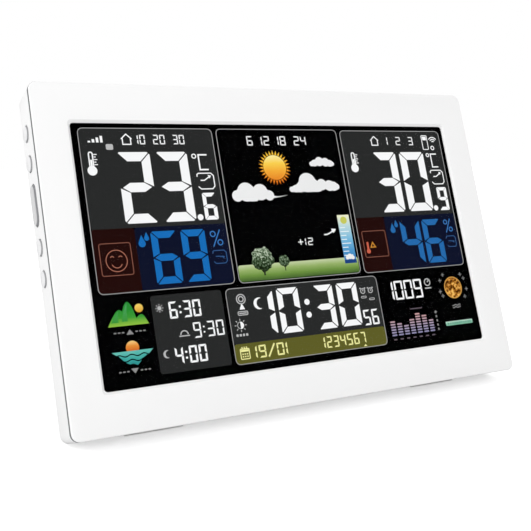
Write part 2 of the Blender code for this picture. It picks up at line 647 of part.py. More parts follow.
def cut_back_openings(housing, recess_floor, recess_top):
    recess_half = STAND_ROOT_HALF + RECESS_SIDE
    cut(
        housing,
        "stand_recess",
        block((-recess_half, recess_floor, -PAST), (recess_half, HUMP_BACK + PAST, recess_top)),
    )
    pin_hole = rod(
        (-STAND_PIN_HALF - GAP, STAND_AXIS_Y, STAND_AXIS_Z),
        (STAND_PIN_HALF + GAP, STAND_AXIS_Y, STAND_AXIS_Z),
        STAND_PIN + GAP,
        12,
    )
    cut(housing, "stand_pin_hole", pin_hole)
    cut(
        housing,
        "cell_room",
        block((-BAY_HALF, BAY_FLOOR_BACK, BAY_LOW), (BAY_HALF, HUMP_BACK + PAST, BAY_HIGH)),
    )
    ledge = HUMP_BACK - DOOR_THICK - GAP
    cut(
        housing,
        "door_seat",
        rounded_block(
            (-DOOR_HALF - GAP, ledge, DOOR_LOW - GAP),
            (DOOR_HALF + GAP, HUMP_BACK + PAST, DOOR_HIGH + GAP),
            DOOR_CORNER + GAP,
            4,
        ),
    )
    slots = [
        block(
            (x - TAB_HALF - GAP, HUMP_BACK + TAB_LEG - GAP, DOOR_LOW - 2 * GAP),
            (x + TAB_HALF + GAP, HUMP_BACK + TAB_TOE + GAP, BAY_LOW + GAP),
        )
        for x in (-TAB_X, TAB_X)
    ]
    cut(housing, "door_tab_slots", *slots)
    notches = [
        block(
            (x - TAB_HALF - GAP, HUMP_BACK + TAB_TOE, DOOR_LOW + TAB_GRIP),
            (x + TAB_HALF + GAP, ledge + GAP, BAY_LOW + GAP),
        )
        for x in (-TAB_X, TAB_X)
    ]
    cut(housing, "door_tab_notches", *notches)
    sinks = [
        rod((x, SCREW_SEAT - GAP, z), (x, CASE_BACK + 2 * PAST, z), SCREW_HEAD_RADIUS + GAP)
        for x, z in screw_places()
    ]
    cut(housing, "screw_sinks", *sinks)
    holes = [
        rod((x, POST_BACK - PAST, z), (x, SCREW_SEAT, z), SCREW_RADIUS + GAP, 12)
        for x, z in screw_places()
    ]
    cut(housing, "screw_holes", *holes)
    start, end = HUMP_BACK - WALL - GAP, HUMP_BACK + PAST
    first = SENSOR_X - VENT_STEP * (VENT_COUNT - 1) / 2
    vents = [
        stadium((first + VENT_STEP * i, SENSOR_Z), VENT_WIDTH / 2, VENT_LENGTH, 4) for i in range(VENT_COUNT)
    ]
    sound = [circle((BUZZER_X, BUZZER_Z), SOUND_RADIUS, 8)]
    for i in range(SOUND_HOLES):
        turn = 2 * math.pi * i / SOUND_HOLES
        place = (BUZZER_X + SOUND_RING * math.cos(turn), BUZZER_Z + SOUND_RING * math.sin(turn))
        sound.append(circle(place, SOUND_RADIUS, 8))
    hang = [
        keyhole((x, KEYHOLE_Z), KEYHOLE_RADIUS, KEYHOLE_SLOT, KEYHOLE_RISE) for x in (-KEYHOLE_X, KEYHOLE_X)
    ]
    jack = [circle((JACK_X, JACK_Z), JACK_RADIUS + GAP, 20)]
    cut(housing, "back_openings", slab(vents + sound + hang + jack, start, end))


def cut_key_openings(housing):
    outer, inner = -HALF_WIDTH - PAST, -HALF_WIDTH + WALL + GAP
    holes = [rod((outer, KEY_Y, z), (inner, KEY_Y, z), KEY_RADIUS + GAP, 20) for z in key_places()]
    slot = stadium((KEY_Y, KEY_MIDDLE_Z), KEY_RADIUS + GAP, ROCKER_LENGTH + 2 * ROCKER_SLACK)
    cut(housing, "key_holes", slab([slot], outer, inner, "X"), *holes)
    axis = -HALF_WIDTH + ROCKER_AXIS
    reach = BRACKET_FAR + GAP
    bore = rod(
        (axis, KEY_Y - reach, KEY_MIDDLE_Z), (axis, KEY_Y + reach, KEY_MIDDLE_Z), ROCKER_PIN + GAP, 12
    )
    cut(housing, "rocker_pin_bore", bore)
    grooves = []
    for side in (-1, 1):
        left, right = side * FOOT_X - FOOT_HALF - GAP, side * FOOT_X + FOOT_HALF + GAP
        grooves.append(
            block((left, FOOT_FRONT - GAP, -PAST), (right, FOOT_BACK + GAP, FOOT_TOP + GAP))
        )
    cut(housing, "foot_grooves", *grooves)


def add_feet(case):
    """Rubber strips whose undersides lie flat on the floor."""
    outline = [
        (FOOT_FRONT, floor_under(FOOT_FRONT)),
        (FOOT_BACK, floor_under(FOOT_BACK)),
        (FOOT_BACK, FOOT_TOP),
        (FOOT_FRONT, FOOT_TOP),
    ]
    for name, side in (("foot_left", -1), ("foot_right", 1)):
        middle = side * FOOT_X
        add_piece(name, RUBBER, slab([outline], middle - FOOT_HALF, middle + FOOT_HALF, "X"), case)


def add_screws(case):
    head_top = SCREW_SEAT + SCREW_HEAD
    length = head_top - SCREW_TIP
    crown = 0.35 * SCREW_HEAD
    profile = [
        (0, 0),
        (0.7 * SCREW_HEAD_RADIUS, 0),
        (SCREW_HEAD_RADIUS, -crown),
        (SCREW_HEAD_RADIUS, -SCREW_HEAD),
        (SCREW_RADIUS, -SCREW_HEAD),
        (SCREW_RADIUS, -length + SCREW_RADIUS),
        (0, -length),
    ]
    for number, (x, z) in enumerate(screw_places(), 1):
        name = f"case_screw_{number}"
        screw = turned(name, STEEL, profile, 12, case, (x, head_top, z), TO_BACK)
        cut(screw, "cross", *cross_recess(0.6 * SCREW_HEAD_RADIUS, 0.5 * SCREW_HEAD))
    head_high = 1.2 * MM
    head_radius = 2.1 * MM
    tip = head_high + BOARD_BACK + GAP - TRAY_BACK - 2 * GAP
    profile = [
        (0, 0),
        (head_radius, 0),
        (head_radius, -head_high),
        (BOARD_SCREW_RADIUS, -head_high),
        (BOARD_SCREW_RADIUS, -tip),
        (0, -tip),
    ]
    for number, (x, z) in enumerate(board_screw_places(), 1):
        name = f"board_screw_{number}"
        turned(name, STEEL, profile, 10, case, (x, ON_BOARD + head_high, z), TO_BACK)


def cross_recess(reach, deep):
    """A cross-shaped driver recess in a screw head, as one plus-shaped prism below the origin."""
    half = reach / 4
    corners = []
    for quarter in range(4):
        turn = Matrix.Rotation(quarter * math.pi / 2, 2)
        corners += [turn @ Vector(p) for p in ((reach, -half), (reach, half), (half, half))]
    shape = slab([[tuple(c) for c in corners]], -deep, deep)
    bmesh.ops.rotate(shape, matrix=Matrix.Rotation(math.pi / 2, 3, "X"), verts=shape.verts)
    return [shape]


def add_boards(case):
    """The main board and the pieces that sit on it."""
    board = add_piece(
        "main_board",
        BOARD_GREEN,
        block((-BOARD_HALF_WIDTH, BOARD_FRONT, BOARD_LOW), (BOARD_HALF_WIDTH, BOARD_BACK, BOARD_HIGH)),
        case,
    )
    holes = [
        rod((x, BOARD_FRONT - PAST, z), (x, BOARD_BACK + PAST, z), BOARD_SCREW_RADIUS + GAP, 10)
        for x, z in board_screw_places()
    ]
    cut(board, "screw_holes", *holes)
    chip = [(0, CHIP_HIGH), (0.7 * CHIP_RADIUS, 0.8 * CHIP_HIGH), (CHIP_RADIUS, 0), (0, 0)]
    turned("main_chip", BLACK, chip, 16, case, (CHIP_X, ON_BOARD, CHIP_Z), TO_BACK)
    can = [(0, BAROMETER_HIGH), (BAROMETER_RADIUS, BAROMETER_HIGH), (BAROMETER_RADIUS, 0), (0, 0)]
    turned("pressure_sensor", STEEL, can, 12, case, (BAROMETER_X, ON_BOARD, BAROMETER_Z), TO_BACK)
    port = 0.25 * BUZZER_RADIUS
    drum = [
        (0, 0.6 * BUZZER_HIGH),
        (port, 0.6 * BUZZER_HIGH),
        (port, BUZZER_HIGH),
        (BUZZER_RADIUS, BUZZER_HIGH),
        (BUZZER_RADIUS, 0),
        (0, 0),
    ]
    turned("buzzer", BLACK, drum, 16, case, (BUZZER_X, ON_BOARD, BUZZER_Z), TO_BACK)
    add_radio(case)
    add_jack(case)
    add_sensor(case)


def add_radio(case):
    """The receiver board on its pin block, and its coiled aerial."""
    half_w, half_h = RADIO_WIDTH / 2, RADIO_HEIGHT / 2
    front = ON_BOARD + RADIO_LIFT
    back = front + RADIO_THICK
    radio = add_piece(
        "receiver_board",
        BOARD_GREEN,
        block((RADIO_X - half_w, front, RADIO_Z - half_h), (RADIO_X + half_w, back, RADIO_Z + half_h)),
        case,
    )
    pins_high = 2.5 * MM
    add_on(
        radio,
        "pin_block",
        block(
            (RADIO_X - 0.8 * half_w, ON_BOARD, RADIO_Z - half_h + GAP),
            (RADIO_X + 0.8 * half_w, front + GAP, RADIO_Z - half_h + pins_high),
        ),
    )
    middle_y = back + COIL_RADIUS + COIL_WIRE
    left = RADIO_X - COIL_LENGTH / 2
    points_a_turn = 8
    count = COIL_TURNS * points_a_turn
    points = [(left, back + GAP, RADIO_Z - COIL_RADIUS), (left, middle_y, RADIO_Z - COIL_RADIUS)]
    for i in range(1, count + 1):
        angle = 2 * math.pi * i / points_a_turn
        x = left + COIL_LENGTH * i / count
        points.append((x, middle_y - COIL_RADIUS * math.sin(angle), RADIO_Z - COIL_RADIUS * math.cos(angle)))
    wire("antenna_coil", COPPER, points, COIL_WIRE, case)


def add_jack(case):
    """The power inlet, with its contact pin left standing in the bore."""
    jack = add_piece(
        "dc_jack", BLACK, rod((JACK_X, ON_BOARD, JACK_Z), (JACK_X, JACK_MOUTH, JACK_Z), JACK_RADIUS, 20), case
    )
    half_w, half_h = JACK_BASE_WIDTH / 2, JACK_BASE_HEIGHT / 2
    add_on(
        jack,
        "base",
        block(
            (JACK_X - half_w, ON_BOARD + GAP, JACK_Z - half_h),
            (JACK_X + half_w, JACK_BASE_BACK, JACK_Z + half_h),
        ),
    )
    ring = [circle((JACK_X, JACK_Z), JACK_BORE, 16), circle((JACK_X, JACK_Z), JACK_PIN, 10)]
    cut(jack, "bore", slab(ring, JACK_FLOOR, JACK_MOUTH + PAST))


def add_sensor(case):
    half_w, half_h, half_chip = SENSOR_WIDTH / 2, SENSOR_HEIGHT / 2, SENSOR_CHIP / 2
    add_piece(
        "sensor_board",
        BOARD_GREEN,
        block(
            (SENSOR_X - half_w, SENSOR_FRONT, SENSOR_Z - half_h),
            (SENSOR_X + half_w, SENSOR_BACK, SENSOR_Z + half_h),
        ),
        case,
    )
    start = SENSOR_BACK + GAP
    chip = add_piece(
        "humidity_sensor",
        WHITE_PLASTIC,
        block(
            (SENSOR_X - half_chip, start, SENSOR_Z - half_chip),
            (SENSOR_X + half_chip, start + SENSOR_CHIP_HIGH, SENSOR_Z + half_chip),
        ),
        case,
    )
    port = rod(
        (SENSOR_X, start + SENSOR_CHIP_HIGH / 2, SENSOR_Z),
        (SENSOR_X, start + PAST, SENSOR_Z),
        SENSOR_CHIP / 4,
        10,
    )
    cut(chip, "port", port)


def add_keys(case):
    """Round keys that slide, and the long key that tilts on a pin."""
    top = KEY_PROUD
    under = -KEY_FLANGE_BACK
    shoulder = under + KEY_FLANGE
    soft = KEY_EDGE * (1 - math.sqrt(0.5))
    profile = [
        (0, top),
        (KEY_RADIUS - KEY_EDGE, top),
        (KEY_RADIUS - soft, top - soft),
        (KEY_RADIUS, top - KEY_EDGE),
        (KEY_RADIUS, shoulder),
        (KEY_FLANGE_RADIUS, shoulder),
        (KEY_FLANGE_RADIUS, under),
        (0, under),
    ]
    for number, z in enumerate(key_places(), 1):
        turned(f"key_{number}", GLOSS_WHITE, profile, 20, case, (-HALF_WIDTH, KEY_Y, z), TO_LEFT)
    add_rocker(case)
    tip = -HALF_WIDTH + SWITCH_TIP
    body_left = tip + SWITCH_BUTTON_HIGH
    body_right = body_left + SWITCH_BODY
    half = SWITCH_SIDE / 2
    under_rocker = [KEY_MIDDLE_Z + ROCKER_PLUNGER_Z, KEY_MIDDLE_Z - ROCKER_PLUNGER_Z]
    heights = sorted(key_places() + under_rocker, reverse=True)
    for number, z in enumerate(heights, 1):
        switch = add_piece(
            f"tact_switch_{number}",
            BLACK,
            block((body_left, KEY_Y - half, z - half), (body_right, KEY_Y + half, z + half)),
            case,
        )
        add_on(switch, "button", rod((tip, KEY_Y, z), (body_left + GAP, KEY_Y, z), SWITCH_BUTTON, 12))
    left = body_right + GAP
    add_piece(
        "key_board",
        BOARD_GREEN,
        block(
            (left, KEYBOARD_FRONT, KEYBOARD_LOW), (left + KEYBOARD_THICK, KEYBOARD_BACK, KEYBOARD_HIGH)
        ),
        case,
    )


def add_rocker(case):
    """The long key, in a frame whose origin is on its pin."""
    face = -(ROCKER_AXIS + KEY_PROUD)
    inner = -(ROCKER_AXIS - ROCKER_INNER)
    half = ROCKER_BOSS_HALF
    cap = slab([stadium((0, 0), KEY_RADIUS, ROCKER_LENGTH)], face + KEY_EDGE, inner, "X")
    rocker = add_piece("rocker_key", GLOSS_WHITE, cap, case, (-HALF_WIDTH + ROCKER_AXIS, KEY_Y, KEY_MIDDLE_Z))
    crown_radius = KEY_RADIUS - KEY_EDGE
    crown = slab(
        [stadium((0, 0), crown_radius, ROCKER_LENGTH - 2 * KEY_EDGE)], face, face + KEY_EDGE + GAP, "X"
    )
    add_on(rocker, "crown", crown)
    add_on(rocker, "boss", rod((0, -half, 0), (0, half, 0), ROCKER_BOSS))
    add_on(rocker, "web", block((inner - GAP, -half + GAP, -ROCKER_BOSS / 2), (0, half - GAP, ROCKER_BOSS / 2)))
    reach = -(ROCKER_AXIS - KEY_FLANGE_BACK)
    plungers = [
        rod((inner - GAP, 0, z), (reach, 0, z), ROCKER_PLUNGER, 12)
        for z in (-ROCKER_PLUNGER_Z, ROCKER_PLUNGER_Z)
    ]
    add_on(rocker, "plungers", *plungers)
    cut(rocker, "bore", rod((0, -PAST, 0), (0, PAST, 0), ROCKER_PIN + GAP, 12))
    pin = [
        (0, ROCKER_PIN_HALF),
        (ROCKER_PIN, ROCKER_PIN_HALF),
        (ROCKER_PIN, -ROCKER_PIN_HALF),
        (0, -ROCKER_PIN_HALF),
    ]
    axis = (-HALF_WIDTH + ROCKER_AXIS, KEY_Y, KEY_MIDDLE_Z)
    turned("rocker_pin", STEEL, pin, 12, case, axis, TO_BACK)


def add_stand(case):
    """The prop, drawn folded in the frame of its hinge, which is turned to where its heel stops."""
    hinge = new_empty("stand_hinge", (0, STAND_AXIS_Y, STAND_AXIS_Z), (STAND_OPEN, 0, 0), case)
    upright = STAND_OPEN - LEAN
    axis_height = CASE_LIFT + STAND_AXIS_Z * math.cos(LEAN) - STAND_AXIS_Y * math.sin(LEAN)
    up = Vector((0, math.sin(upright), math.cos(upright)))
    end_height = PAD_THICK + GAP - axis_height
    long_end = -axis_height - PAST
    outline = [
        (-STAND_ROOT_HALF, STAND_HEEL),
        (-STAND_ROOT_HALF, STAND_TAPER_FROM),
        (-STAND_TIP_HALF, long_end),
        (STAND_TIP_HALF, long_end),
        (STAND_ROOT_HALF, STAND_TAPER_FROM),
        (STAND_ROOT_HALF, STAND_HEEL),
    ]
    plate = slab([outline], STAND_INNER, STAND_OUTER)
    cut_through = bmesh.ops.bisect_plane(
        plate,
        geom=plate.verts[:] + plate.edges[:] + plate.faces[:],
        plane_co=up * end_height,
        plane_no=-up,
        clear_outer=True,
    )
    rim = [e for e in cut_through["geom_cut"] if isinstance(e, bmesh.types.BMEdge)]
    bmesh.ops.contextual_create(plate, geom=rim)
    leg = add_piece("stand_leg", SATIN_WHITE, plate, hinge)
    half = STAND_ROOT_HALF
    add_on(leg, "barrel", rod((-half + GAP, 0, 0), (half - GAP, 0, 0), STAND_BARREL))
    cut(leg, "pin_bore", rod((-half - PAST, 0, 0), (half + PAST, 0, 0), STAND_PIN + GAP, 12))
    grip = rounded_block(
        (-STAND_GRIP_WIDTH / 2, STAND_OUTER - STAND_GRIP_DEEP, STAND_GRIP_LOW),
        (STAND_GRIP_WIDTH / 2, STAND_OUTER + PAST, STAND_GRIP_HIGH),
        (STAND_GRIP_HIGH - STAND_GRIP_LOW) / 2 - GAP,
    )
    cut(leg, "grip", grip)
    pin = [
        (0, STAND_PIN_HALF),
        (STAND_PIN, STAND_PIN_HALF),
        (STAND_PIN, -STAND_PIN_HALF),
        (0, -STAND_PIN_HALF),
    ]
    turned("stand_pin", STEEL, pin, 12, case, (0, STAND_AXIS_Y, STAND_AXIS_Z), TO_RIGHT)
    floor_frame = new_empty("stand_tip", up * -axis_height, (-upright, 0, 0), hinge)
    slant = math.tan(upright) * (PAD_THICK / 2)
    front = STAND_INNER / math.cos(upright) - slant
    back = STAND_OUTER / math.cos(upright) - slant
    along = axis_height * math.tan(upright)
    pad = block((-PAD_HALF, along + front, 0), (PAD_HALF, along + back, PAD_THICK))
    add_piece("stand_pad", RUBBER, pad, floor_frame)


def add_batteries(case):
    """Three cells in series, with their springs and contact plates."""
    heights = [CELL_MIDDLE_Z + CELL_STEP * row for row in (1, 0, -1)]
    plate_inner = BAY_HALF - GAP - PLATE_THICK
    tip = plate_inner - GAP
    shoulder = CELL_LENGTH - CELL_NUB
    profile = [
        (0, CELL_LENGTH),
        (CELL_NUB_RADIUS, CELL_LENGTH),
        (CELL_NUB_RADIUS, shoulder),
        (CELL_RADIUS, shoulder),
        (CELL_RADIUS, 0),
        (0, 0),
    ]
    for number, z in enumerate(heights, 1):
        side = -1 if number == 2 else 1
        base = side * (tip - CELL_LENGTH)
        turn = TO_RIGHT if side > 0 else TO_LEFT
        turned(f"battery_cell_{number}", CELL_WRAP, profile, 16, case, (base, CELL_Y, z), turn)
        add_spring(case, number, z, -side * tip, base - side * GAP)
    top, middle, bottom = heights
    spans = {
        "contact_plate_plus": (1, top, top),
        "contact_plate_right": (1, bottom, middle),
        "contact_plate_left": (-1, middle, top),
        "contact_plate_minus": (-1, bottom, bottom),
    }
    for name, (side, low, high) in spans.items():
        near, far = sorted((side * plate_inner, side * (plate_inner + PLATE_THICK)))
        plate = block((near, PLATE_FRONT, low - PLATE_HALF), (far, PLATE_BACK, high + PLATE_HALF))
        add_piece(name, NICKEL, plate, case)


def add_spring(case, number, z, start, end):
    """A cone of wire between a contact plate and a cell's flat end."""
    points_a_turn = 8
    count = round(SPRING_TURNS * points_a_turn)
    inward = math.copysign(SPRING_WIRE / 2, end - start)
    first, last = start + inward, end - inward
    points = []
    for i in range(count + 1):
        share = i / count
        radius = SPRING_WIDE + (SPRING_NARROW - SPRING_WIDE) * share
        angle = 2 * math.pi * i / points_a_turn
        x = first + (last - first) * share
        points.append((x, CELL_Y + radius * math.cos(angle), z + radius * math.sin(angle)))
    wire(f"battery_spring_{number}", NICKEL, points, SPRING_WIRE, case)


def add_battery_door(case):
    """The door, in a frame whose origin is on its lower outer edge, where it pivots."""
    high = DOOR_HIGH - DOOR_LOW
    plate = rounded_block((-DOOR_HALF, -DOOR_THICK, 0), (DOOR_HALF, 0, high), DOOR_CORNER, 4)
    door = add_piece("battery_door", SATIN_WHITE, plate, case, (0, HUMP_BACK, DOOR_LOW))
    root = -DOOR_THICK + GAP
    legs = [block((x - TAB_HALF, TAB_LEG, TAB_NEAR), (x + TAB_HALF, root, TAB_FAR)) for x in (-TAB_X, TAB_X)]
    add_on(door, "tab_legs", *legs)
    toes = [
        block((x - TAB_HALF + GAP, TAB_LEG + GAP / 2, 0), (x + TAB_HALF - GAP, TAB_TOE, TAB_NEAR + GAP))
        for x in (-TAB_X, TAB_X)
    ]
    add_on(door, "tab_toes", *toes)
    add_on(door, "latch", block((-LATCH_HALF, LATCH_DEEP, LATCH_NEAR), (LATCH_HALF, root, LATCH_FAR)))
    grooves = []
    for i in range(GRIP_COUNT):
        z = high - GRIP_STEP * (i + 1.5)
        grooves.append(block((-GRIP_HALF, -GRIP_DEEP, z), (GRIP_HALF, PAST, z + GRIP_WIDE)))
    cut(door, "grip_grooves", *grooves)


def main():
    case = new_empty("case_frame", (KEY_PROUD / 2, -CASE_FORWARD, CASE_LIFT), (-LEAN, 0, 0))
    add_front_cover(case)
    add_display(case)
    add_rear_housing(case)
    add_feet(case)
    add_screws(case)
    add_boards(case)
    add_keys(case)
    add_stand(case)
    add_batteries(case)
    add_battery_door(case)


clear_scene()
PARTS = new_collection("home_weather_station")
CUTTERS = new_collection("cutters")
GLOSS_WHITE = finish("gloss_white_abs", (0.89, 0.89, 0.88), 0.18)
SATIN_WHITE = finish("satin_white_abs", (0.86, 0.86, 0.85), 0.45)
WHITE_PLASTIC = finish("white_plastic", (0.8, 0.8, 0.78), 0.5)
CLEAR = finish("clear_acrylic", (0.75, 0.78, 0.8), 0.05)
DARK_GLASS = finish("display_glass", (0.01, 0.01, 0.012), 0.08)
LAMP_WHITE = finish("lamp_strip", (0.9, 0.85, 0.6), 0.4)
AMBER_FILM = finish("amber_film", (0.45, 0.2, 0.04), 0.4)
BOARD_GREEN = finish("circuit_board", (0.02, 0.16, 0.06), 0.5)
BLACK = finish("black_plastic", (0.02, 0.02, 0.02), 0.45)
RUBBER = finish("pale_rubber", (0.5, 0.5, 0.5), 0.8)
STEEL = finish("steel", (0.6, 0.6, 0.6), 0.3, 1.0)
NICKEL = finish("nickel_plate", (0.66, 0.64, 0.6), 0.25, 1.0)
COPPER = finish("copper_wire", (0.72, 0.36, 0.2), 0.3, 1.0)
CELL_WRAP = finish("cell_wrap", (0.05, 0.12, 0.3), 0.3)
main()
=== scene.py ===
import json
import math
from collections import namedtuple

import bmesh
import bpy
from mathutils import Matrix, Vector

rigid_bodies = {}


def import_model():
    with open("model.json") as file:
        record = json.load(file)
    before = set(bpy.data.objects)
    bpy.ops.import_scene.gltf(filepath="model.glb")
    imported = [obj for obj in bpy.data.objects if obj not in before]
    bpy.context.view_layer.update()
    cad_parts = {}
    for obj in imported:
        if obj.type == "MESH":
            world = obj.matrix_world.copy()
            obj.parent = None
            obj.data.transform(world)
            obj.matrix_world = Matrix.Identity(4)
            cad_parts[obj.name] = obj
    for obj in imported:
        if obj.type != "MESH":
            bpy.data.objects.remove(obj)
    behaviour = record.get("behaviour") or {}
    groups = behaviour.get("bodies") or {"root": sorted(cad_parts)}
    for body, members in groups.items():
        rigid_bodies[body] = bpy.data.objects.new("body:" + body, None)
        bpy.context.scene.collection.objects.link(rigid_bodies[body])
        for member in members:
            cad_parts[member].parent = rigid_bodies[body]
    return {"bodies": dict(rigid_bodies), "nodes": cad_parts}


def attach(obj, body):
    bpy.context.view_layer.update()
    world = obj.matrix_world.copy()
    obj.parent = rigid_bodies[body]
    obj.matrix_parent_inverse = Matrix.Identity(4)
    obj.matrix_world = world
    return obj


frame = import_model()

bl_info = {
    "name": "Home weather station",
    "version": (1, 0, 0),
    "blender": (4, 5, 0),
    "location": "View3D > Sidebar > Station",
    "description": "Finishes the packed weather station: moulded case, lit display and studio stage",
    "category": "Object",
}

MM = 0.001
NODES = frame["nodes"]

# A camera fitted to the photograph, for a square frame
CAMERA_PLACE = (-0.16651, -0.28765, 0.10005)
CAMERA_AIM = (0.47682, 0.86753, -0.14202)
CAMERA_LENS = 58.02
CAMERA_SENSOR = 36.0

# A place on the display, in millimetres from its middle, with X to the right and Y down
Spot = namedtuple("Spot", "left top right bottom")


def linear(code):
    """A linear colour from an sRGB hex value."""
    parts = [int(code[i : i + 2], 16) / 255 for i in (1, 3, 5)]
    return tuple(c / 12.92 if c <= 0.04045 else ((c + 0.055) / 1.055) ** 2.4 for c in parts)


def colour_property(name, words, code):
    """A colour that a user can change, with its default as an sRGB hex value."""
    return bpy.props.FloatVectorProperty(
        name=name, description=words, default=linear(code), subtype="COLOR", size=3, min=0, max=1
    )


def length_property(name, words, value):
    """A length that a user can change, in metres."""
    return bpy.props.FloatProperty(name=name, description=words, default=value, unit="LENGTH", precision=5)


class StationSizes(bpy.types.PropertyGroup):
    """Where the case stands, and the sizes of its face and seam."""

    lean: bpy.props.FloatProperty(
        name="Lean",
        description="How far the case leans back from upright",
        default=math.radians(19.44),
        subtype="ANGLE",
    )
    case_x: length_property("Case across", "Middle of the case from the footprint's middle", 0.35 * MM)
    case_y: length_property("Case forward", "Lower front edge from the footprint's middle", -29.706 * MM)
    case_z: length_property("Case lift", "Lower front edge above the table", 5.423 * MM)
    face_width: length_property("Face width", "Width of the front cover", 190 * MM)
    face_height: length_property("Face height", "Height of the front cover", 122.5 * MM)
    face_corner: length_property("Face corner", "Corner radius of the front cover", 3 * MM)
    # Painted shade: a grey strip in the seam and a lip over the front cover's edge stand for the dark shadow
    # gap between cover and housing. These sizes place them.
    seal_lip: length_property("Seal lip", "Front of the lip that laps the cover's edge", 0.45 * MM)
    lip_width: length_property("Lip width", "Width of that lip towards the inside", 0.3 * MM)
    seam_shade_front: length_property("Seal front", "Front of the seam's seal behind the face", 0.95 * MM)
    seam_shade_back: length_property("Seal back", "Back of the seam's seal behind the face", 1.95 * MM)
    seam_shade_proud: length_property("Seal proud", "How far the seal stands out of the case wall", 0.02 * MM)
    seam_shade_width: length_property("Seal width", "Width of the seal towards the inside", 2.2 * MM)
    # Nearer the wall than this, the keys carry painted shade in grey on their flanks.
    key_cap: length_property("Key cap", "How far the keys' pale lacquer stops above the wall", 0.5 * MM)


class DisplaySizes(bpy.types.PropertyGroup):
    """Depths and widths of the display's lit marks."""

    mark_thick: length_property("Mark thickness", "Thickness of the lit marks", 0.06 * MM)
    panel_depth: length_property("Panel depth", "Front of the lit panels behind the face", 3.0 * MM)
    mark_depth: length_property("Mark depth", "Front of the digits behind the face", 2.92 * MM)
    detail_depth: length_property("Detail depth", "Front of the uppermost marks behind the face", 2.84 * MM)
    middle_right: length_property("Picture right", "Picture's middle right of the face's middle", 1.42 * MM)
    middle_up: length_property("Picture up", "Picture's middle above the face's middle", 0.58 * MM)
    spread: bpy.props.FloatProperty(
        name="Picture spread",
        description="Size of the picture against its layout",
        default=1.0063,
        min=0.9,
        max=1.1,
        subtype="FACTOR",
    )
    outline: length_property("Outline", "Width of the panels' outlines", 0.23 * MM)
    outline_corner: length_property("Outline corner", "Corner radius of the panels' outlines", 1.9 * MM)
    large_bar: length_property("Large bar", "Bar width of the temperature digits", 3.4 * MM)
    middle_bar: length_property("Middle bar", "Bar width of the humidity digits", 2.5 * MM)
    clock_bar: length_property("Clock bar", "Bar width of the clock's digits", 2.3 * MM)
    tenths_bar: length_property("Tenths bar", "Bar width of the digits after the point", 1.45 * MM)
    small_bar: length_property("Small bar", "Bar width of the times and the pressure", 0.72 * MM)
    fine_bar: length_property("Fine bar", "Line width of the scales and signs", 0.4 * MM)


class CaseColours(bpy.types.PropertyGroup):
    """Colours of the moulded case and the pieces that show on it."""

    front: colour_property("Front cover", "Gloss white of the front cover", "#f5f5f5")
    housing: colour_property("Housing", "Satin white of the rear housing, door and stand", "#f2f2f2")
    # The grey below the keys' and the rocker's caps is painted shade, standing for the shade in the gaps
    # round them.
    key_cap: colour_property("Key caps", "Pale grey of the keys' lacquered caps", "#e8e8e9")
    key_flank_shade: colour_property("Key rubber", "Grey of the keys below their caps", "#a4a5a7")
    rocker_cap: colour_property("Rocker cap", "Pale grey of the rocker's cap", "#cfcfd0")
    rocker_flank_shade: colour_property("Rocker rubber", "Grey of the rocker below its cap", "#96979a")
    # Painted shade: the grey laid in the seam stands for the shadow in its gap.
    seal: colour_property("Seal", "Grey of the seal in the seam", "#66676a")
    rubber: colour_property("Feet", "White of the feet and the stand's pad", "#e6e6e4")
    display: colour_property("Display glass", "Black of the unlit display", "#020203")
    window: colour_property("Window", "Tint of the clear window", "#fbfcfc")


class DisplayColours(bpy.types.PropertyGroup):
    """Colours of the lit panels and marks."""

    white: colour_property("White", "Main digits", "#fbfbfc")
    line: colour_property("Outlines", "Outlines of the panels", "#a9a9a9")
    charcoal: colour_property("Charcoal", "Panels behind the white digits", "#2a2b2b")
    maroon: colour_property("Maroon", "Panels behind the comfort and alarm signs", "#230d0b")
    navy: colour_property("Navy", "Panels behind the humidity digits", "#0f142a")
    blue: colour_property("Blue", "Humidity digits of the room", "#196db9")
    far_blue: colour_property("Far blue", "Humidity digits of the outside", "#266aad")
    blue_line: colour_property("Blue lines", "Signs beside the humidity digits", "#3c79c0")
    blue_box: colour_property("Blue boxes", "Trend boxes beside the humidity digits", "#34588c")
    rust: colour_property("Rust", "Lines of the comfort and alarm boxes", "#8f5a4b")
    orange: colour_property("Orange", "Lines of the comfort sign's face", "#b0705c")
    coral: colour_property("Coral", "Bulb of the alarm sign", "#d0644c")
    amber: colour_property("Amber", "Triangle of the alarm sign", "#d08c32")
    olive: colour_property("Olive", "Date strip", "#605f28")
    straw: colour_property("Straw", "Date digits", "#f2efa2")
    cloud: colour_property("Cloud", "Clouds of the forecast picture", "#efefef")
    bark: colour_property("Bark", "Trunks of the trees", "#2c3324")
    tick: colour_property("Ticks", "Ticks of the trend bar", "#eef4f6")
    glow: colour_property("Glow", "Sun on the trend bar", "#c9cb5e")
    deep: colour_property("Deep blue", "Foot of the trend bar", "#20427f")
    pale: colour_property("Pale grey", "Brighter small signs", "#bdbdbd")
    grey: colour_property("Grey", "Small signs", "#8f8f8f")
    dim: colour_property("Dim", "Labels of the pressure chart", "#625862")
    reed: colour_property("Reed", "Scale of the tide bar", "#3f806a")
    rim: colour_property("Moon rim", "Bright edge of the moon", "#d9a24e")


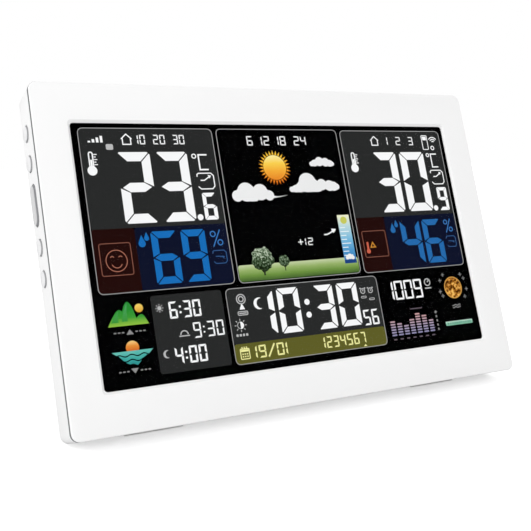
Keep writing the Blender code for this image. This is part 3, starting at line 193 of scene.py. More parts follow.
# Colours of the printed pictures, from the top of each to its bottom
SUN_BANDS = ("#fff0a0", "#fdd250", "#f7ae3a", "#ea8728")
RAY_BANDS = ("#f7c93c", "#f2a52c", "#e8701a")
FIELD_BANDS = ("#c6d3a6", "#98b36a", "#6f9443", "#42602d")
LEAF_BANDS = ("#c4cfba", "#62785b", "#2b3e25", "#141e0c")
TREND_BANDS = ("#f2f0cc", "#b9dae0", "#7cbde0", "#4c96cc", "#3576b8")
HILL_BANDS = ("#2a8a36", "#2c8f34", "#3d9a36", "#93c244")
FACET_BANDS = ("#58a870", "#449b50", "#3f953c")
RISING_BANDS = ("#f4d66a", "#dc9f32")
SETTING_BANDS = ("#f3cf84", "#e8923a", "#d2662a")
SEA_BANDS = ("#69c0b4", "#3ea69e", "#2d8c8c")
MOON_BANDS = ("#3a1a05", "#a8661e", "#f6c060")
CHART_BANDS = ("#cf9f9c", "#b8979f", "#a094ae", "#8a87aa")
TIDE_BANDS = ("#c6e0d2", "#90c7ae", "#78b498")


def case_matrix():
    """Places the case frame, which has X to the right, Y to the back and Z up the face."""
    sizes = bpy.context.scene.station_sizes
    place = Matrix.Translation((sizes.case_x, sizes.case_y, sizes.case_z))
    return place @ Matrix.Rotation(-sizes.lean, 4, "X")


def height_on_face(y):
    """Height up the case, in metres, of a height in the display's layout."""
    scene = bpy.context.scene
    sizes = scene.display_sizes
    return scene.station_sizes.face_height / 2 + sizes.middle_up - y * sizes.spread * MM


def on_face(outline):
    """An outline of the display's layout, in millimetres from the face's middle."""
    sizes = bpy.context.scene.display_sizes
    right, up = sizes.middle_right / MM, sizes.middle_up / MM
    return [(right + x * sizes.spread, y * sizes.spread - up) for x, y in outline]


def node(tree, kind, links=None, **settings):
    """Adds a node, sets its properties, and fills its inputs with values or links."""
    made = tree.nodes.new(kind)
    for name, value in settings.items():
        setattr(made, name, value)
    for name, value in (links or {}).items():
        if isinstance(value, bpy.types.NodeSocket):
            tree.links.new(value, made.inputs[name])
        else:
            made.inputs[name].default_value = value
    return made


def new_finish(name, **values):
    """A material with one Principled shader, and the values that are the same all over it."""
    look = bpy.data.materials.new(name)
    look.use_nodes = True
    shader = look.node_tree.nodes["Principled BSDF"]
    for socket, value in values.items():
        shader.inputs[socket.replace("_", " ")].default_value = value
    return look, look.node_tree, shader


def per_metre(millimetres):
    """Texture scale for a pattern whose parts are this far across."""
    return 1 / (millimetres * MM)


def shaded(colour, amount=1.0):
    """A colour made lighter or darker, with the alpha that a colour socket wants."""
    return (*(min(1, c * amount) for c in colour), 1)


def set_bands(tree, share, codes):
    """A colour ramp over a share of the height, with its colours given from the top down."""
    bands = node(tree, "ShaderNodeValToRGB", {"Fac": share})
    stops = bands.color_ramp.elements
    stops[0].color = shaded(linear(codes[-1]))
    stops[1].color = shaded(linear(codes[0]))
    steps = len(codes) - 1
    for i in range(1, steps):
        stops.new(i / steps).color = shaded(linear(codes[steps - i]))
    return bands.outputs["Color"]


def moulded_plastic(name, colour, roughness, grain, relief):
    """Moulded plastic: grain in its surface, and faint flow marks in its colour and gloss.

    Grain is the distance between its bumps and relief their height, in millimetres.
    """
    flow_length, tint_change, gloss_change = 60, 0.015, 0.15
    look, tree, shader = new_finish(name, IOR=1.53)
    place = node(tree, "ShaderNodeTexCoord").outputs["Object"]
    flow = node(
        tree, "ShaderNodeTexNoise", {"Vector": place, "Scale": per_metre(flow_length), "Detail": 2.0}
    ).outputs["Fac"]
    tint = node(
        tree,
        "ShaderNodeMix",
        {"Factor": flow, "A": shaded(colour, 1 - tint_change), "B": shaded(colour, 1 + tint_change)},
        data_type="RGBA",
    )
    tree.links.new(tint.outputs[2], shader.inputs["Base Color"])
    gloss = node(
        tree,
        "ShaderNodeMapRange",
        {
            "Value": flow,
            "To Min": roughness * (1 - gloss_change),
            "To Max": roughness * (1 + gloss_change),
        },
    )
    tree.links.new(gloss.outputs["Result"], shader.inputs["Roughness"])
    texture = node(tree, "ShaderNodeTexNoise", {"Vector": place, "Scale": per_metre(grain), "Detail": 3.0})
    bump = node(
        tree, "ShaderNodeBump", {"Height": texture.outputs["Fac"], "Strength": 0.5, "Distance": relief * MM}
    )
    tree.links.new(bump.outputs["Normal"], shader.inputs["Normal"])
    return look


def drawn_metal(name, colour, roughness, spacing):
    """Drawn or stamped metal: fine die marks, this many millimetres apart, that break its gloss."""
    smoothest, roughest = roughness * 0.7, roughness * 1.4
    look, tree, shader = new_finish(name, Metallic=1.0, Base_Color=shaded(colour))
    place = node(tree, "ShaderNodeTexCoord").outputs["Object"]
    marks = node(tree, "ShaderNodeTexNoise", {"Vector": place, "Scale": per_metre(spacing), "Detail": 4.0})
    gloss = node(
        tree,
        "ShaderNodeMapRange",
        {"Value": marks.outputs["Fac"], "To Min": smoothest, "To Max": roughest},
    )
    tree.links.new(gloss.outputs["Result"], shader.inputs["Roughness"])
    return look


def lit_film(name):
    """Printed film with light behind it: black to the room, and shining by itself."""
    black = shaded(linear("#000000"))
    return new_finish(name, Base_Color=black, Roughness=0.6, Specular_IOR_Level=0.0, Emission_Strength=1.0)


def lit_mark(name, colour):
    """A lit mark in one colour, with the slight unevenness of the lamps behind it."""
    lamp_spread, unevenness = 18, 0.03
    look, tree, shader = lit_film(name)
    place = node(tree, "ShaderNodeTexCoord").outputs["Object"]
    lamps = node(
        tree, "ShaderNodeTexNoise", {"Vector": place, "Scale": per_metre(lamp_spread), "Detail": 1.0}
    )
    tint = node(
        tree,
        "ShaderNodeMix",
        {
            "Factor": lamps.outputs["Fac"],
            "A": shaded(colour, 1 - unevenness),
            "B": shaded(colour, 1 + unevenness),
        },
        data_type="RGBA",
    )
    tree.links.new(tint.outputs[2], shader.inputs["Emission Color"])
    return look


def lit_picture(name, bands, top, bottom, speckle=0.0, speckle_size=2.0):
    """A lit picture: bands of colour from its top to its bottom, stirred by speckle.

    A speckle of 1 stirs a colour over the picture's whole height. Its size is in millimetres.
    """
    look, tree, shader = lit_film(f"lit_film_{name}")
    place = node(tree, "ShaderNodeTexCoord").outputs["Object"]
    height = node(tree, "ShaderNodeSeparateXYZ", {"Vector": place}).outputs["Z"]
    share = node(
        tree,
        "ShaderNodeMapRange",
        {"Value": height, "From Min": height_on_face(bottom), "From Max": height_on_face(top)},
    ).outputs["Result"]
    if speckle:
        spots = node(
            tree, "ShaderNodeTexNoise", {"Vector": place, "Scale": per_metre(speckle_size), "Detail": 3.0}
        ).outputs["Fac"]
        stir = node(tree, "ShaderNodeMapRange", {"Value": spots, "To Min": -speckle, "To Max": speckle})
        share = node(
            tree, "ShaderNodeMath", {0: share, 1: stir.outputs["Result"]}, operation="ADD"
        ).outputs[0]
    tree.links.new(set_bands(tree, share, bands), shader.inputs["Emission Color"])
    return look


def ink(name):
    """The material of lit marks in one of the display's colours, made once."""
    label = f"lit_film_{name}"
    if label in bpy.data.materials:
        return bpy.data.materials[label]
    return lit_mark(label, getattr(bpy.context.scene.display_colours, name))


def soft_edges():
    """Joins a CAD mesh's faces and shades it smooth, but for edges sharper than its facets."""
    label, weld, crease = "soft_edges", 0.001 * MM, math.radians(34)
    if label in bpy.data.node_groups:
        return bpy.data.node_groups[label]
    tree = bpy.data.node_groups.new(label, "GeometryNodeTree")
    tree.interface.new_socket("Geometry", in_out="INPUT", socket_type="NodeSocketGeometry")
    tree.interface.new_socket("Geometry", in_out="OUTPUT", socket_type="NodeSocketGeometry")
    mesh = node(tree, "NodeGroupInput").outputs["Geometry"]
    mesh = node(tree, "GeometryNodeRemoveAttribute", {"Geometry": mesh, "Name": "custom_normal"}).outputs[0]
    mesh = node(tree, "GeometryNodeMergeByDistance", {"Geometry": mesh, "Distance": weld}).outputs[0]
    angle = node(tree, "GeometryNodeInputMeshEdgeAngle").outputs["Unsigned Angle"]
    gentle = node(
        tree,
        "FunctionNodeCompare",
        {"A": angle, "B": crease},
        data_type="FLOAT",
        operation="LESS_EQUAL",
    ).outputs["Result"]
    mesh = node(
        tree, "GeometryNodeSetShadeSmooth", {"Geometry": mesh, "Shade Smooth": gentle}, domain="EDGE"
    ).outputs[0]
    mesh = node(
        tree, "GeometryNodeSetShadeSmooth", {"Geometry": mesh, "Shade Smooth": True}, domain="FACE"
    ).outputs[0]
    node(tree, "NodeGroupOutput", {"Geometry": mesh})
    return tree


def dress(look, *names):
    """Gives CAD nodes a finish, and smooths their rounded faces."""
    for name in names:
        piece = NODES[name]
        piece.data.materials.clear()
        piece.data.materials.append(look)
        piece.modifiers.new("soft_edges", "NODES").node_group = soft_edges()


def numbered(name, count):
    """The names of like nodes, counted from 1."""
    return [f"{name}_{i}" for i in range(1, count + 1)]


def add_plates(name, look, front, back, patches):
    """One piece of flat closed plates that stand in the case, which it rides on.

    A patch is an outline, or a pair of outlines that leave a hole between them.
    """
    middle = bpy.context.scene.station_sizes.face_height / 2
    shape = bmesh.new()

    def loop(points, depth):
        return [shape.verts.new((x * MM, depth, middle - y * MM)) for x, y in points]

    for patch in patches:
        if isinstance(patch, tuple):
            outer, inner = patch
            rings = [loop(outer, front), loop(outer, back), loop(inner, back), loop(inner, front)]
            joints = list(zip(rings, rings[1:] + rings[:1]))
        else:
            rings = [loop(patch, front), loop(patch, back)]
            joints = [tuple(rings)]
            for ring_of_verts in rings:
                shape.faces.new(ring_of_verts)
        for first, second in joints:
            for i in range(len(first)):
                shape.faces.new((first[i - 1], first[i], second[i], second[i - 1]))
    bmesh.ops.recalc_face_normals(shape, faces=shape.faces)
    mesh = bpy.data.meshes.new(name)
    shape.to_mesh(mesh)
    shape.free()
    mesh.materials.append(look)
    piece = bpy.data.objects.new(name, mesh)
    bpy.context.scene.collection.objects.link(piece)
    piece.matrix_world = case_matrix()
    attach(piece, "case")
    return piece


def add_lit(name, look, front, patches):
    """One lit piece of the display, with its patches in the display's layout."""
    placed = [tuple(map(on_face, p)) if isinstance(p, tuple) else on_face(p) for p in patches]
    add_plates(name, look, front, front + bpy.context.scene.display_sizes.mark_thick, placed)


def add_panel(name, look, patches):
    """Lit panels, next to the display glass."""
    add_lit(name, look, bpy.context.scene.display_sizes.panel_depth, patches)


def add_marks(name, look, patches):
    """Lit marks, in front of the panels."""
    add_lit(name, look, bpy.context.scene.display_sizes.mark_depth, patches)


def add_details(name, look, patches):
    """Lit marks in front of other marks."""
    add_lit(name, look, bpy.context.scene.display_sizes.detail_depth, patches)


def bar_width(name):
    """A bar width of the display, in millimetres."""
    return getattr(bpy.context.scene.display_sizes, name) / MM


def arc(middle, radius, start, end, steps):
    """Points along an arc, with its angles in degrees."""
    angles = [math.radians(start + (end - start) * i / steps) for i in range(steps + 1)]
    return [(middle[0] + radius * math.cos(a), middle[1] + radius * math.sin(a)) for a in angles]


def box(spot, corner=0.0, steps=4):
    """A box as an outline, with round corners where a radius is given."""
    left, top, right, bottom = spot
    if not corner:
        return [(left, top), (right, top), (right, bottom), (left, bottom)]
    return (
        arc((right - corner, top + corner), corner, -90, 0, steps)
        + arc((right - corner, bottom - corner), corner, 0, 90, steps)
        + arc((left + corner, bottom - corner), corner, 90, 180, steps)
        + arc((left + corner, top + corner), corner, 180, 270, steps)
    )


def inset(spot, amount):
    """A smaller spot in the middle of a spot."""
    return Spot(spot.left + amount, spot.top + amount, spot.right - amount, spot.bottom - amount)


def frame_line(spot, corner, width, steps=4):
    """A closed frame as a pair of outlines."""
    return box(spot, corner, steps), box(inset(spot, width), max(corner - width, width / 10), steps)


def disc(middle, radius, steps=24):
    """A full circle as an outline."""
    return arc(middle, radius, 0, 360, steps)[:-1]


def ring(middle, radius, width, steps=24):
    """A ring as a pair of outlines."""
    return disc(middle, radius, steps), disc(middle, radius - width, steps)


def sector(middle, radius, width, start, end, steps=10):
    """Part of a ring, as one outline."""
    return arc(middle, radius, start, end, steps) + arc(middle, radius - width, end, start, steps)


def stroke(points, width):
    """A line of even width through points, with mitred corners, as one outline."""
    sharpest = 0.35
    left, right = [], []
    for i, point in enumerate(points):
        here = Vector(point)
        runs = []
        if i > 0:
            runs.append((here - Vector(points[i - 1])).normalized())
        if i < len(points) - 1:
            runs.append((Vector(points[i + 1]) - here).normalized())
        run = (runs[0] + runs[-1]).normalized()
        side = Vector((-run.y, run.x))
        flank = Vector((-runs[0].y, runs[0].x))
        reach = width / 2 / max(side.dot(flank), sharpest)
        left.append(tuple(here + side * reach))
        right.append(tuple(here - side * reach))
    return left + right[::-1]


def smooth(points, steps=5):
    """A soft curve through points."""
    ends = [points[0], *points, points[-1]]
    curve = []
    for i in range(len(points) - 1):
        a, b, c, d = (Vector(p) for p in ends[i : i + 4])
        for step in range(steps):
            t = step / steps
            bend = (2 * a - 5 * b + 4 * c - d) * t**2 + (3 * b - a - 3 * c + d) * t**3
            curve.append(tuple((2 * b + (c - a) * t + bend) / 2))
    return [*curve, points[-1]]


# Dark gaps between the bars of the digits, in millimetres
LARGE_GAP, TENTHS_GAP, SMALL_GAP = 0.4, 0.15, 0.12

# Weights of thinner lines, against a bar width
HAIRLINE, THIN, LIGHT = 0.6, 0.7, 0.8

LIT_BARS = {
    "0": "abcdef",
    "1": "bc",
    "2": "abged",
    "3": "abgcd",
    "4": "fgbc",
    "5": "afgcd",
    "6": "afgecd",
    "7": "abc",
    "8": "abcdefg",
    "9": "abcdfg",
}


def digit(sign, spot, bar, gap=LARGE_GAP):
    """The lit bars of one digit, with mitred ends, dark gaps and cut corners."""
    wide, high = spot.right - spot.left, spot.bottom - spot.top
    middle, half, cut = high / 2, bar / 2, bar * 0.3
    tip = half * 0.3
    slant, short = gap / math.sqrt(2), gap / math.sqrt(8)
    top = [
        (cut, 0),
        (wide - cut, 0),
        (wide - cut / 2 - short, cut / 2 - short),
        (wide - bar - slant, bar),
        (bar + slant, bar),
        (cut / 2 + short, cut / 2 - short),
    ]
    upper_left = [
        (0, cut),
        (cut / 2 - short, cut / 2 + short),
        (bar, bar + slant),
        (bar, middle - half - slant),
        (0, middle - slant),
    ]
    across = [
        (tip + slant, middle),
        (bar + slant / 2, middle - half),
        (wide - bar - slant / 2, middle - half),
        (wide - tip - slant, middle),
        (wide - bar - slant / 2, middle + half),
        (bar + slant / 2, middle + half),
    ]

    def flipped(points, sideways, upright):
        return [(wide - x if sideways else x, high - y if upright else y) for x, y in points]

    bars = {
        "a": top,
        "b": flipped(upper_left, True, False),
        "c": flipped(upper_left, True, True),
        "d": flipped(top, False, True),
        "e": flipped(upper_left, False, True),
        "f": upper_left,
        "g": across,
    }
    return [[(spot.left + x, spot.top + y) for x, y in bars[name]] for name in LIT_BARS[sign]]


def number(text, left, top, width, height, bar, space, gap=SMALL_GAP):
    """A row of digits that starts at a place, with dots for a colon and strokes for signs."""
    patches = []
    x = left
    for sign in text:
        advance = width
        if sign == ":":
            dot = bar * 0.6
            patches += [disc((x + dot, top + height * share), dot, 12) for share in (0.33, 0.67)]
            advance = 2 * dot
        elif sign == "/":
            patches.append(stroke([(x, top + height), (x + width, top)], bar))
        elif sign == "+":
            patches.append(plus((x + width / 2, top + height / 2), width / 2, bar))
        elif sign == "1":
            patches += digit(sign, Spot(x + bar - width, top, x + bar, top + height), bar, gap)
            advance = bar
        elif sign != " ":
            patches += digit(sign, Spot(x, top, x + width, top + height), bar, gap)
        x += advance + space
    return patches


def plus(middle, reach, width):
    """A plus sign as one outline."""
    half = width / 2
    corners = []
    for turn in range(4):
        c, s = round(math.cos(turn * math.pi / 2)), round(math.sin(turn * math.pi / 2))
        for x, y in ((reach, -half), (reach, half), (half, half)):
            corners.append((middle[0] + x * c - y * s, middle[1] + x * s + y * c))
    return corners


def spokes(middle, count, inner, outer, width):
    """Short strokes round a middle."""
    patches = []
    for i in range(count):
        turn = 2 * math.pi * i / count
        c, s = math.cos(turn), math.sin(turn)
        patches.append(
            stroke(
                [
                    (middle[0] + inner * c, middle[1] + inner * s),
                    (middle[0] + outer * c, middle[1] + outer * s),
                ],
                width,
            )
        )
    return patches


def pointed_rays(middle, count, inner, outer):
    """Pointed rays round a sun."""
    ray_share = 0.72
    half = math.pi / count * ray_share
    patches = []
    for i in range(count):
        turn = 2 * math.pi * i / count
        corners = ((turn - half, inner), (turn, outer), (turn + half, inner))
        patches.append([(middle[0] + r * math.cos(a), middle[1] + r * math.sin(a)) for a, r in corners])
    return patches


def cloud(lumps, base, steps=44):
    """The outline round a row of lumps, each with a middle and a radius, that is flat at its base."""
    first = min(lumps, key=lambda lump: lump[0] - lump[2])
    last = max(lumps, key=lambda lump: lump[0] + lump[2])
    left, right = first[0] - first[2], last[0] + last[2]
    over, under = [(left, first[1])], []
    for i in range(1, steps):
        x = left + (right - left) * (1 - math.cos(math.pi * i / steps)) / 2
        reaches = [(y, math.sqrt(r * r - (x - cx) ** 2)) for cx, y, r in lumps if abs(x - cx) < r]
        over.append((x, min(y - reach for y, reach in reaches)))
        under.append((x, min(base, max(y + reach for y, reach in reaches))))
    return [*over, (right, last[1]), *under[::-1]]


def leafy(middle, radius, steps=48):
    """The uneven outline of a tree's crown."""
    # Height, count and turn of each set of bulges
    bulges = ((0.06, 5, 0.6), (0.05, 9, 0.0), (0.04, 15, 2.0))
    outline = []
    for i in range(steps):
        turn = 2 * math.pi * i / steps
        wobble = sum(high * math.sin(count * turn + shift) for high, count, shift in bulges)
        reach = radius * (1 + wobble)
        outline.append((middle[0] + reach * math.cos(turn), middle[1] + reach * math.sin(turn)))
    return outline


def drop(middle, radius, height):
    """A falling drop: a round foot and a point above it."""
    return [*arc(middle, radius, -30, 210, 12), (middle[0], middle[1] - height)]


def crescent(middle, radius):
    """A crescent moon."""
    bite = (middle[0] + radius * 0.42, middle[1])
    return arc(middle, radius, 60, 300, 18) + arc(bite, radius * 0.86, 273, 87, 16)


def thermometer(spot):
    """A thermometer: its bulb, a tube with an empty top, and scale ticks beside it."""
    width = spot.right - spot.left
    bulb, tube, line = width * 0.46, width * 0.24, width * 0.12
    x = spot.left + bulb
    foot = (x, spot.bottom - bulb)
    head = (x, spot.top + tube)
    neck = foot[1] - bulb * 0.8
    core = tube - line - width * 0.03
    outer = [(x + tube, neck), *arc(head, tube, 0, -180, 8), (x - tube, neck)]
    inner = [(x - tube + line, neck), *arc(head, tube - line, 180, 360, 8), (x + tube - line, neck)]
    patches = [disc(foot, bulb, 20), outer + inner]
    patches.append(box(Spot(x - core, head[1] + (neck - head[1]) * 0.45, x + core, neck + line / 8)))
    tick_count, tick_left = 5, x + tube + line / 4
    for i in range(tick_count):
        y = head[1] + (neck - head[1]) * i / tick_count
        reach = width * (0.2 if i % 2 else 0.32)
        patches.append(box(Spot(tick_left, y, tick_left + reach, y + line * 0.7)))
    return patches


def percent(spot, width):
    """A percent sign: two small rings and a slanted stroke."""
    reach = (spot.right - spot.left) * 0.24
    return [
        ring((spot.left + reach, spot.top + reach * 1.25), reach, width, 16),
        ring((spot.right - reach, spot.bottom - reach * 1.25), reach, width, 16),
        stroke([(spot.left + reach * 0.7, spot.bottom), (spot.right - reach * 0.7, spot.top)], width),
    ]


def degree_unit(spot, width):
    """A degree ring and a square-cut C."""
    reach = (spot.right - spot.left) * 0.16
    left, top = spot.left + reach * 2.8, spot.top + reach / 2
    corners = [(spot.right, top), (left, top), (left, spot.bottom), (spot.right, spot.bottom)]
    return [ring((spot.left + reach, spot.top + reach), reach, width * 0.75, 16), stroke(corners, width)]


def trend_box(spot, width, rising=True):
    """A rounded box, open at its left, with an arrow in it."""
    left, top, right, bottom = spot
    corner = (right - left) * 0.15
    middle = (top + bottom) / 2
    path = [(left, top + corner * 1.3), (left, top + corner * 0.5), (left + corner * 0.6, top)]
    path += [(right - corner, top), (right, top + corner), (right, bottom - corner), (right - corner, bottom)]
    path += [(left + corner, bottom), (left, bottom - corner)]
    rise = corner * 1.5 if rising else -corner * 0.4
    start = (left + corner * 1.2, middle - corner * 0.3)
    tip = (right - corner * 1.6, start[1] - rise)
    bend = (start[0] + corner * 1.6, start[1])
    point = [
        (tip[0] - corner * 0.7, tip[1] - corner * 0.6),
        (tip[0] + corner * 0.6, tip[1] - corner * 0.2),
        (tip[0] - corner * 0.1, tip[1] + corner * 0.9),
    ]
    return [stroke(path, width), stroke([start, bend, tip], width * 1.1), point]


def house(spot, width):
    """A house drawn in lines."""
    middle = (spot.left + spot.right) / 2
    eaves = spot.top + (spot.bottom - spot.top) * 0.48
    left, right = spot.left + width * 1.2, spot.right - width * 1.2
    roof = [(spot.left, eaves), (middle, spot.top), (spot.right, eaves)]
    walls = [(left, eaves - width / 2), (left, spot.bottom), (right, spot.bottom), (right, eaves - width / 2)]
    return [stroke(roof, width), stroke(walls, width)]


def alarm_clock(middle, radius, width):
    """An alarm clock: a ring with hands, and a bell at each side above it."""
    x, y = middle
    hands = stroke([(x, y - radius * 0.55), (x, y), (x + radius * 0.4, y)], width * 0.8)
    bells = [disc((x + side * radius * 0.95, y - radius * 0.95), width, 10) for side in (-1, 1)]
    return [ring(middle, radius, width, 18), hands, *bells]


class STATION_OT_case(bpy.types.Operator):
    """Finish the moulded case, keys, door, stand and feet"""

    bl_idname = "weather_station.case"
    bl_label = "Finish case"

    def execute(self, context):
        colours = context.scene.case_colours
        # ABS from a polished tool: clean gloss, very slightly wavy
        gloss = moulded_plastic("abs_polished_white", colours.front, roughness=0.2, grain=9, relief=0.01)
        dress(gloss, "front_cover")
        # ABS from a spark-eroded tool: a fine dull grain, drawn at 0.7 mm so that it shows
        satin = moulded_plastic(
            "abs_grained_white", colours.housing, roughness=0.42, grain=0.7, relief=0.03
        )
        dress(satin, "rear_housing", "battery_door", "stand_leg")
        # Moulded silicone rubber: dull and soft to light
        rubber = moulded_plastic(
            "silicone_rubber_white", colours.rubber, roughness=0.75, grain=0.5, relief=0.04
        )
        dress(rubber, "foot_left", "foot_right", "stand_pad")
        # Keys and rocker: pale caps, with painted shade in grey on the flanks below them
        keys = self.rubber_with_painted_flank_shade(
            context, "silicone_rubber_white_cap", colours.key_cap, colours.key_flank_shade
        )
        dress(keys, *numbered("key", 4))
        rocker = self.rubber_with_painted_flank_shade(
            context, "silicone_rubber_pale_cap", colours.rocker_cap, colours.rocker_flank_shade
        )
        dress(rocker, "rocker_key")
        return {"FINISHED"}

    def rubber_with_painted_flank_shade(self, context, name, cap, flank):
        """Silicone rubber, pale and glossier on the cap, with painted shade on the flanks: the grey below the
        cap stands for the shade in the gap round the key, and there the gloss turns dull.
        """
        sizes = context.scene.station_sizes
        fade, lacquer_roughness, rubber_roughness = 0.05 * MM, 0.3, 0.7
        look, tree, shader = new_finish(name, IOR=1.43)
        place = node(tree, "ShaderNodeTexCoord").outputs["Object"]
        across = node(tree, "ShaderNodeSeparateXYZ", {"Vector": place}).outputs["X"]
        # Painted shade: nearer the wall than this edge, the key turns to the grey of its flanks
        edge = sizes.case_x - sizes.face_width / 2 - sizes.key_cap
        bare = node(
            tree, "ShaderNodeMapRange", {"Value": across, "From Min": edge, "From Max": edge + fade}
        ).outputs["Result"]
        tint = node(
            tree,
            "ShaderNodeMix",
            {"Factor": bare, "A": shaded(cap), "B": shaded(flank)},
            data_type="RGBA",
        )
        tree.links.new(tint.outputs[2], shader.inputs["Base Color"])
        gloss = node(
            tree,
            "ShaderNodeMapRange",
            {"Value": bare, "To Min": lacquer_roughness, "To Max": rubber_roughness},
        )
        tree.links.new(gloss.outputs["Result"], shader.inputs["Roughness"])
        return look


class STATION_OT_seam_shade(bpy.types.Operator):
    """Lay painted shade in the seam behind the front cover: a grey strip, with a lip over the cover's edge,
    stands for the seam's dark shadow gap
    """

    bl_idname = "weather_station.seal"
    bl_label = "Lay seam seal"

    CORNER_STEPS = 16

    def execute(self, context):
        sizes = context.scene.station_sizes
        half_width, half_height = sizes.face_width / 2 / MM, sizes.face_height / 2 / MM
        outer = inset(Spot(-half_width, -half_height, half_width, half_height), -sizes.seam_shade_proud / MM)
        corner = (sizes.face_corner + sizes.seam_shade_proud) / MM
        # Painted shade: a matt grey strip with a fine pitted grain, standing for the seam's dark shadow gap
        grey = context.scene.case_colours.seal
        look = moulded_plastic("foamed_rubber_grey", grey, roughness=0.9, grain=0.4, relief=0.05)
        shade_strip = frame_line(outer, corner, sizes.seam_shade_width / MM, self.CORNER_STEPS)
        add_plates("seam_seal", look, sizes.seam_shade_front, sizes.seam_shade_back, [shade_strip])
        lip = frame_line(outer, corner, sizes.lip_width / MM, self.CORNER_STEPS)
        add_plates("seam_seal_lip", look, sizes.seal_lip, sizes.seam_shade_front, [lip])
        return {"FINISHED"}


class STATION_OT_inner(bpy.types.Operator):
    """Finish the pieces inside the case"""

    bl_idname = "weather_station.inner"
    bl_label = "Finish inner pieces"

    def execute(self, context):
        # Filled polycarbonate: bright white that throws light forward
        white = moulded_plastic(
            "polycarbonate_white", linear("#eeeeea"), roughness=0.5, grain=1.2, relief=0.02
        )
        dress(white, "backlight_tray", "reflector_sheet", "humidity_sensor", "led_strip")
        # Moulded nylon: near black, half dull
        black = moulded_plastic(
            "nylon_black", linear("#1c1c1d"), roughness=0.5, grain=0.8, relief=0.03
        )
        dress(black, "main_chip", "buzzer", "dc_jack", *numbered("tact_switch", 6))
        # Polyimide film: amber and smooth
        film = moulded_plastic(
            "polyimide_film_amber", linear("#b5732a"), roughness=0.3, grain=2.0, relief=0.01
        )
        dress(film, "display_ribbon")
        # Cast acrylic: clear and bright, with a milky print on its back
        guide = moulded_plastic(
            "acrylic_sheet_pale", linear("#e4ecee"), roughness=0.12, grain=3.0, relief=0.02
        )
        dress(guide, "light_guide")
        dress(self.lacquered_board(), "main_board", "receiver_board", "sensor_board", "key_board")
        # Zinc-plated steel: bright, with faint die marks
        steel = drawn_metal("steel_zinc_plated", linear("#c4c5c8"), roughness=0.3, spacing=1.5)
        screws = numbered("case_screw", 6) + numbered("board_screw", 4)
        dress(steel, "pressure_sensor", "rocker_pin", "stand_pin", *screws)
        # Nickel plate: warmer and smoother than the steel
        nickel = drawn_metal("steel_nickel_plated", linear("#d2cec4"), roughness=0.22, spacing=1.0)
        plates = [f"contact_plate_{name}" for name in ("plus", "minus", "left", "right")]
        dress(nickel, *plates, *numbered("battery_spring", 3))
        # Enamelled copper wire: reddish, under a clear coat
        copper = drawn_metal("copper_enamelled", linear("#c77b4e"), roughness=0.28, spacing=0.8)
        dress(copper, "antenna_coil")
        dress(self.cell_wrap(), *numbered("battery_cell", 3))
        return {"FINISHED"}

    def lacquered_board(self):
        """Glass-fibre board under green lacquer: the tracks show through as paler lines."""
        track_spacing, track_share = 9, 0.06
        look, tree, shader = new_finish("glass_fibre_board_green", Roughness=0.35, IOR=1.5)
        place = node(tree, "ShaderNodeTexCoord").outputs["Object"]
        tracks = node(
            tree,
            "ShaderNodeTexBrick",
            {
                "Vector": place,
                "Color1": shaded(linear("#1b6b3a")),
                "Color2": shaded(linear("#186034")),
                "Mortar": shaded(linear("#2d8a52")),
                "Scale": per_metre(track_spacing),
                "Mortar Size": track_share,
            },
        )
        tree.links.new(tracks.outputs["Color"], shader.inputs["Base Color"])
        return look

    def cell_wrap(self):
        """Printed shrink wrap over steel: a blue body, with bare steel towards the ends."""
        wrap_half = 14 * MM
        look, tree, shader = new_finish("shrink_wrap_blue", Roughness=0.28)
        place = node(tree, "ShaderNodeTexCoord").outputs["Object"]
        across = node(tree, "ShaderNodeSeparateXYZ", {"Vector": place}).outputs["X"]
        reach = node(tree, "ShaderNodeMath", {0: across}, operation="ABSOLUTE").outputs[0]
        bare = node(tree, "ShaderNodeMath", {0: reach, 1: wrap_half}, operation="GREATER_THAN").outputs[0]
        tint = node(
            tree,
            "ShaderNodeMix",
            {"Factor": bare, "A": shaded(linear("#24508c")), "B": shaded(linear("#c9ccd0"))},
            data_type="RGBA",
        )
        tree.links.new(tint.outputs[2], shader.inputs["Base Color"])
        tree.links.new(bare, shader.inputs["Metallic"])
        return look


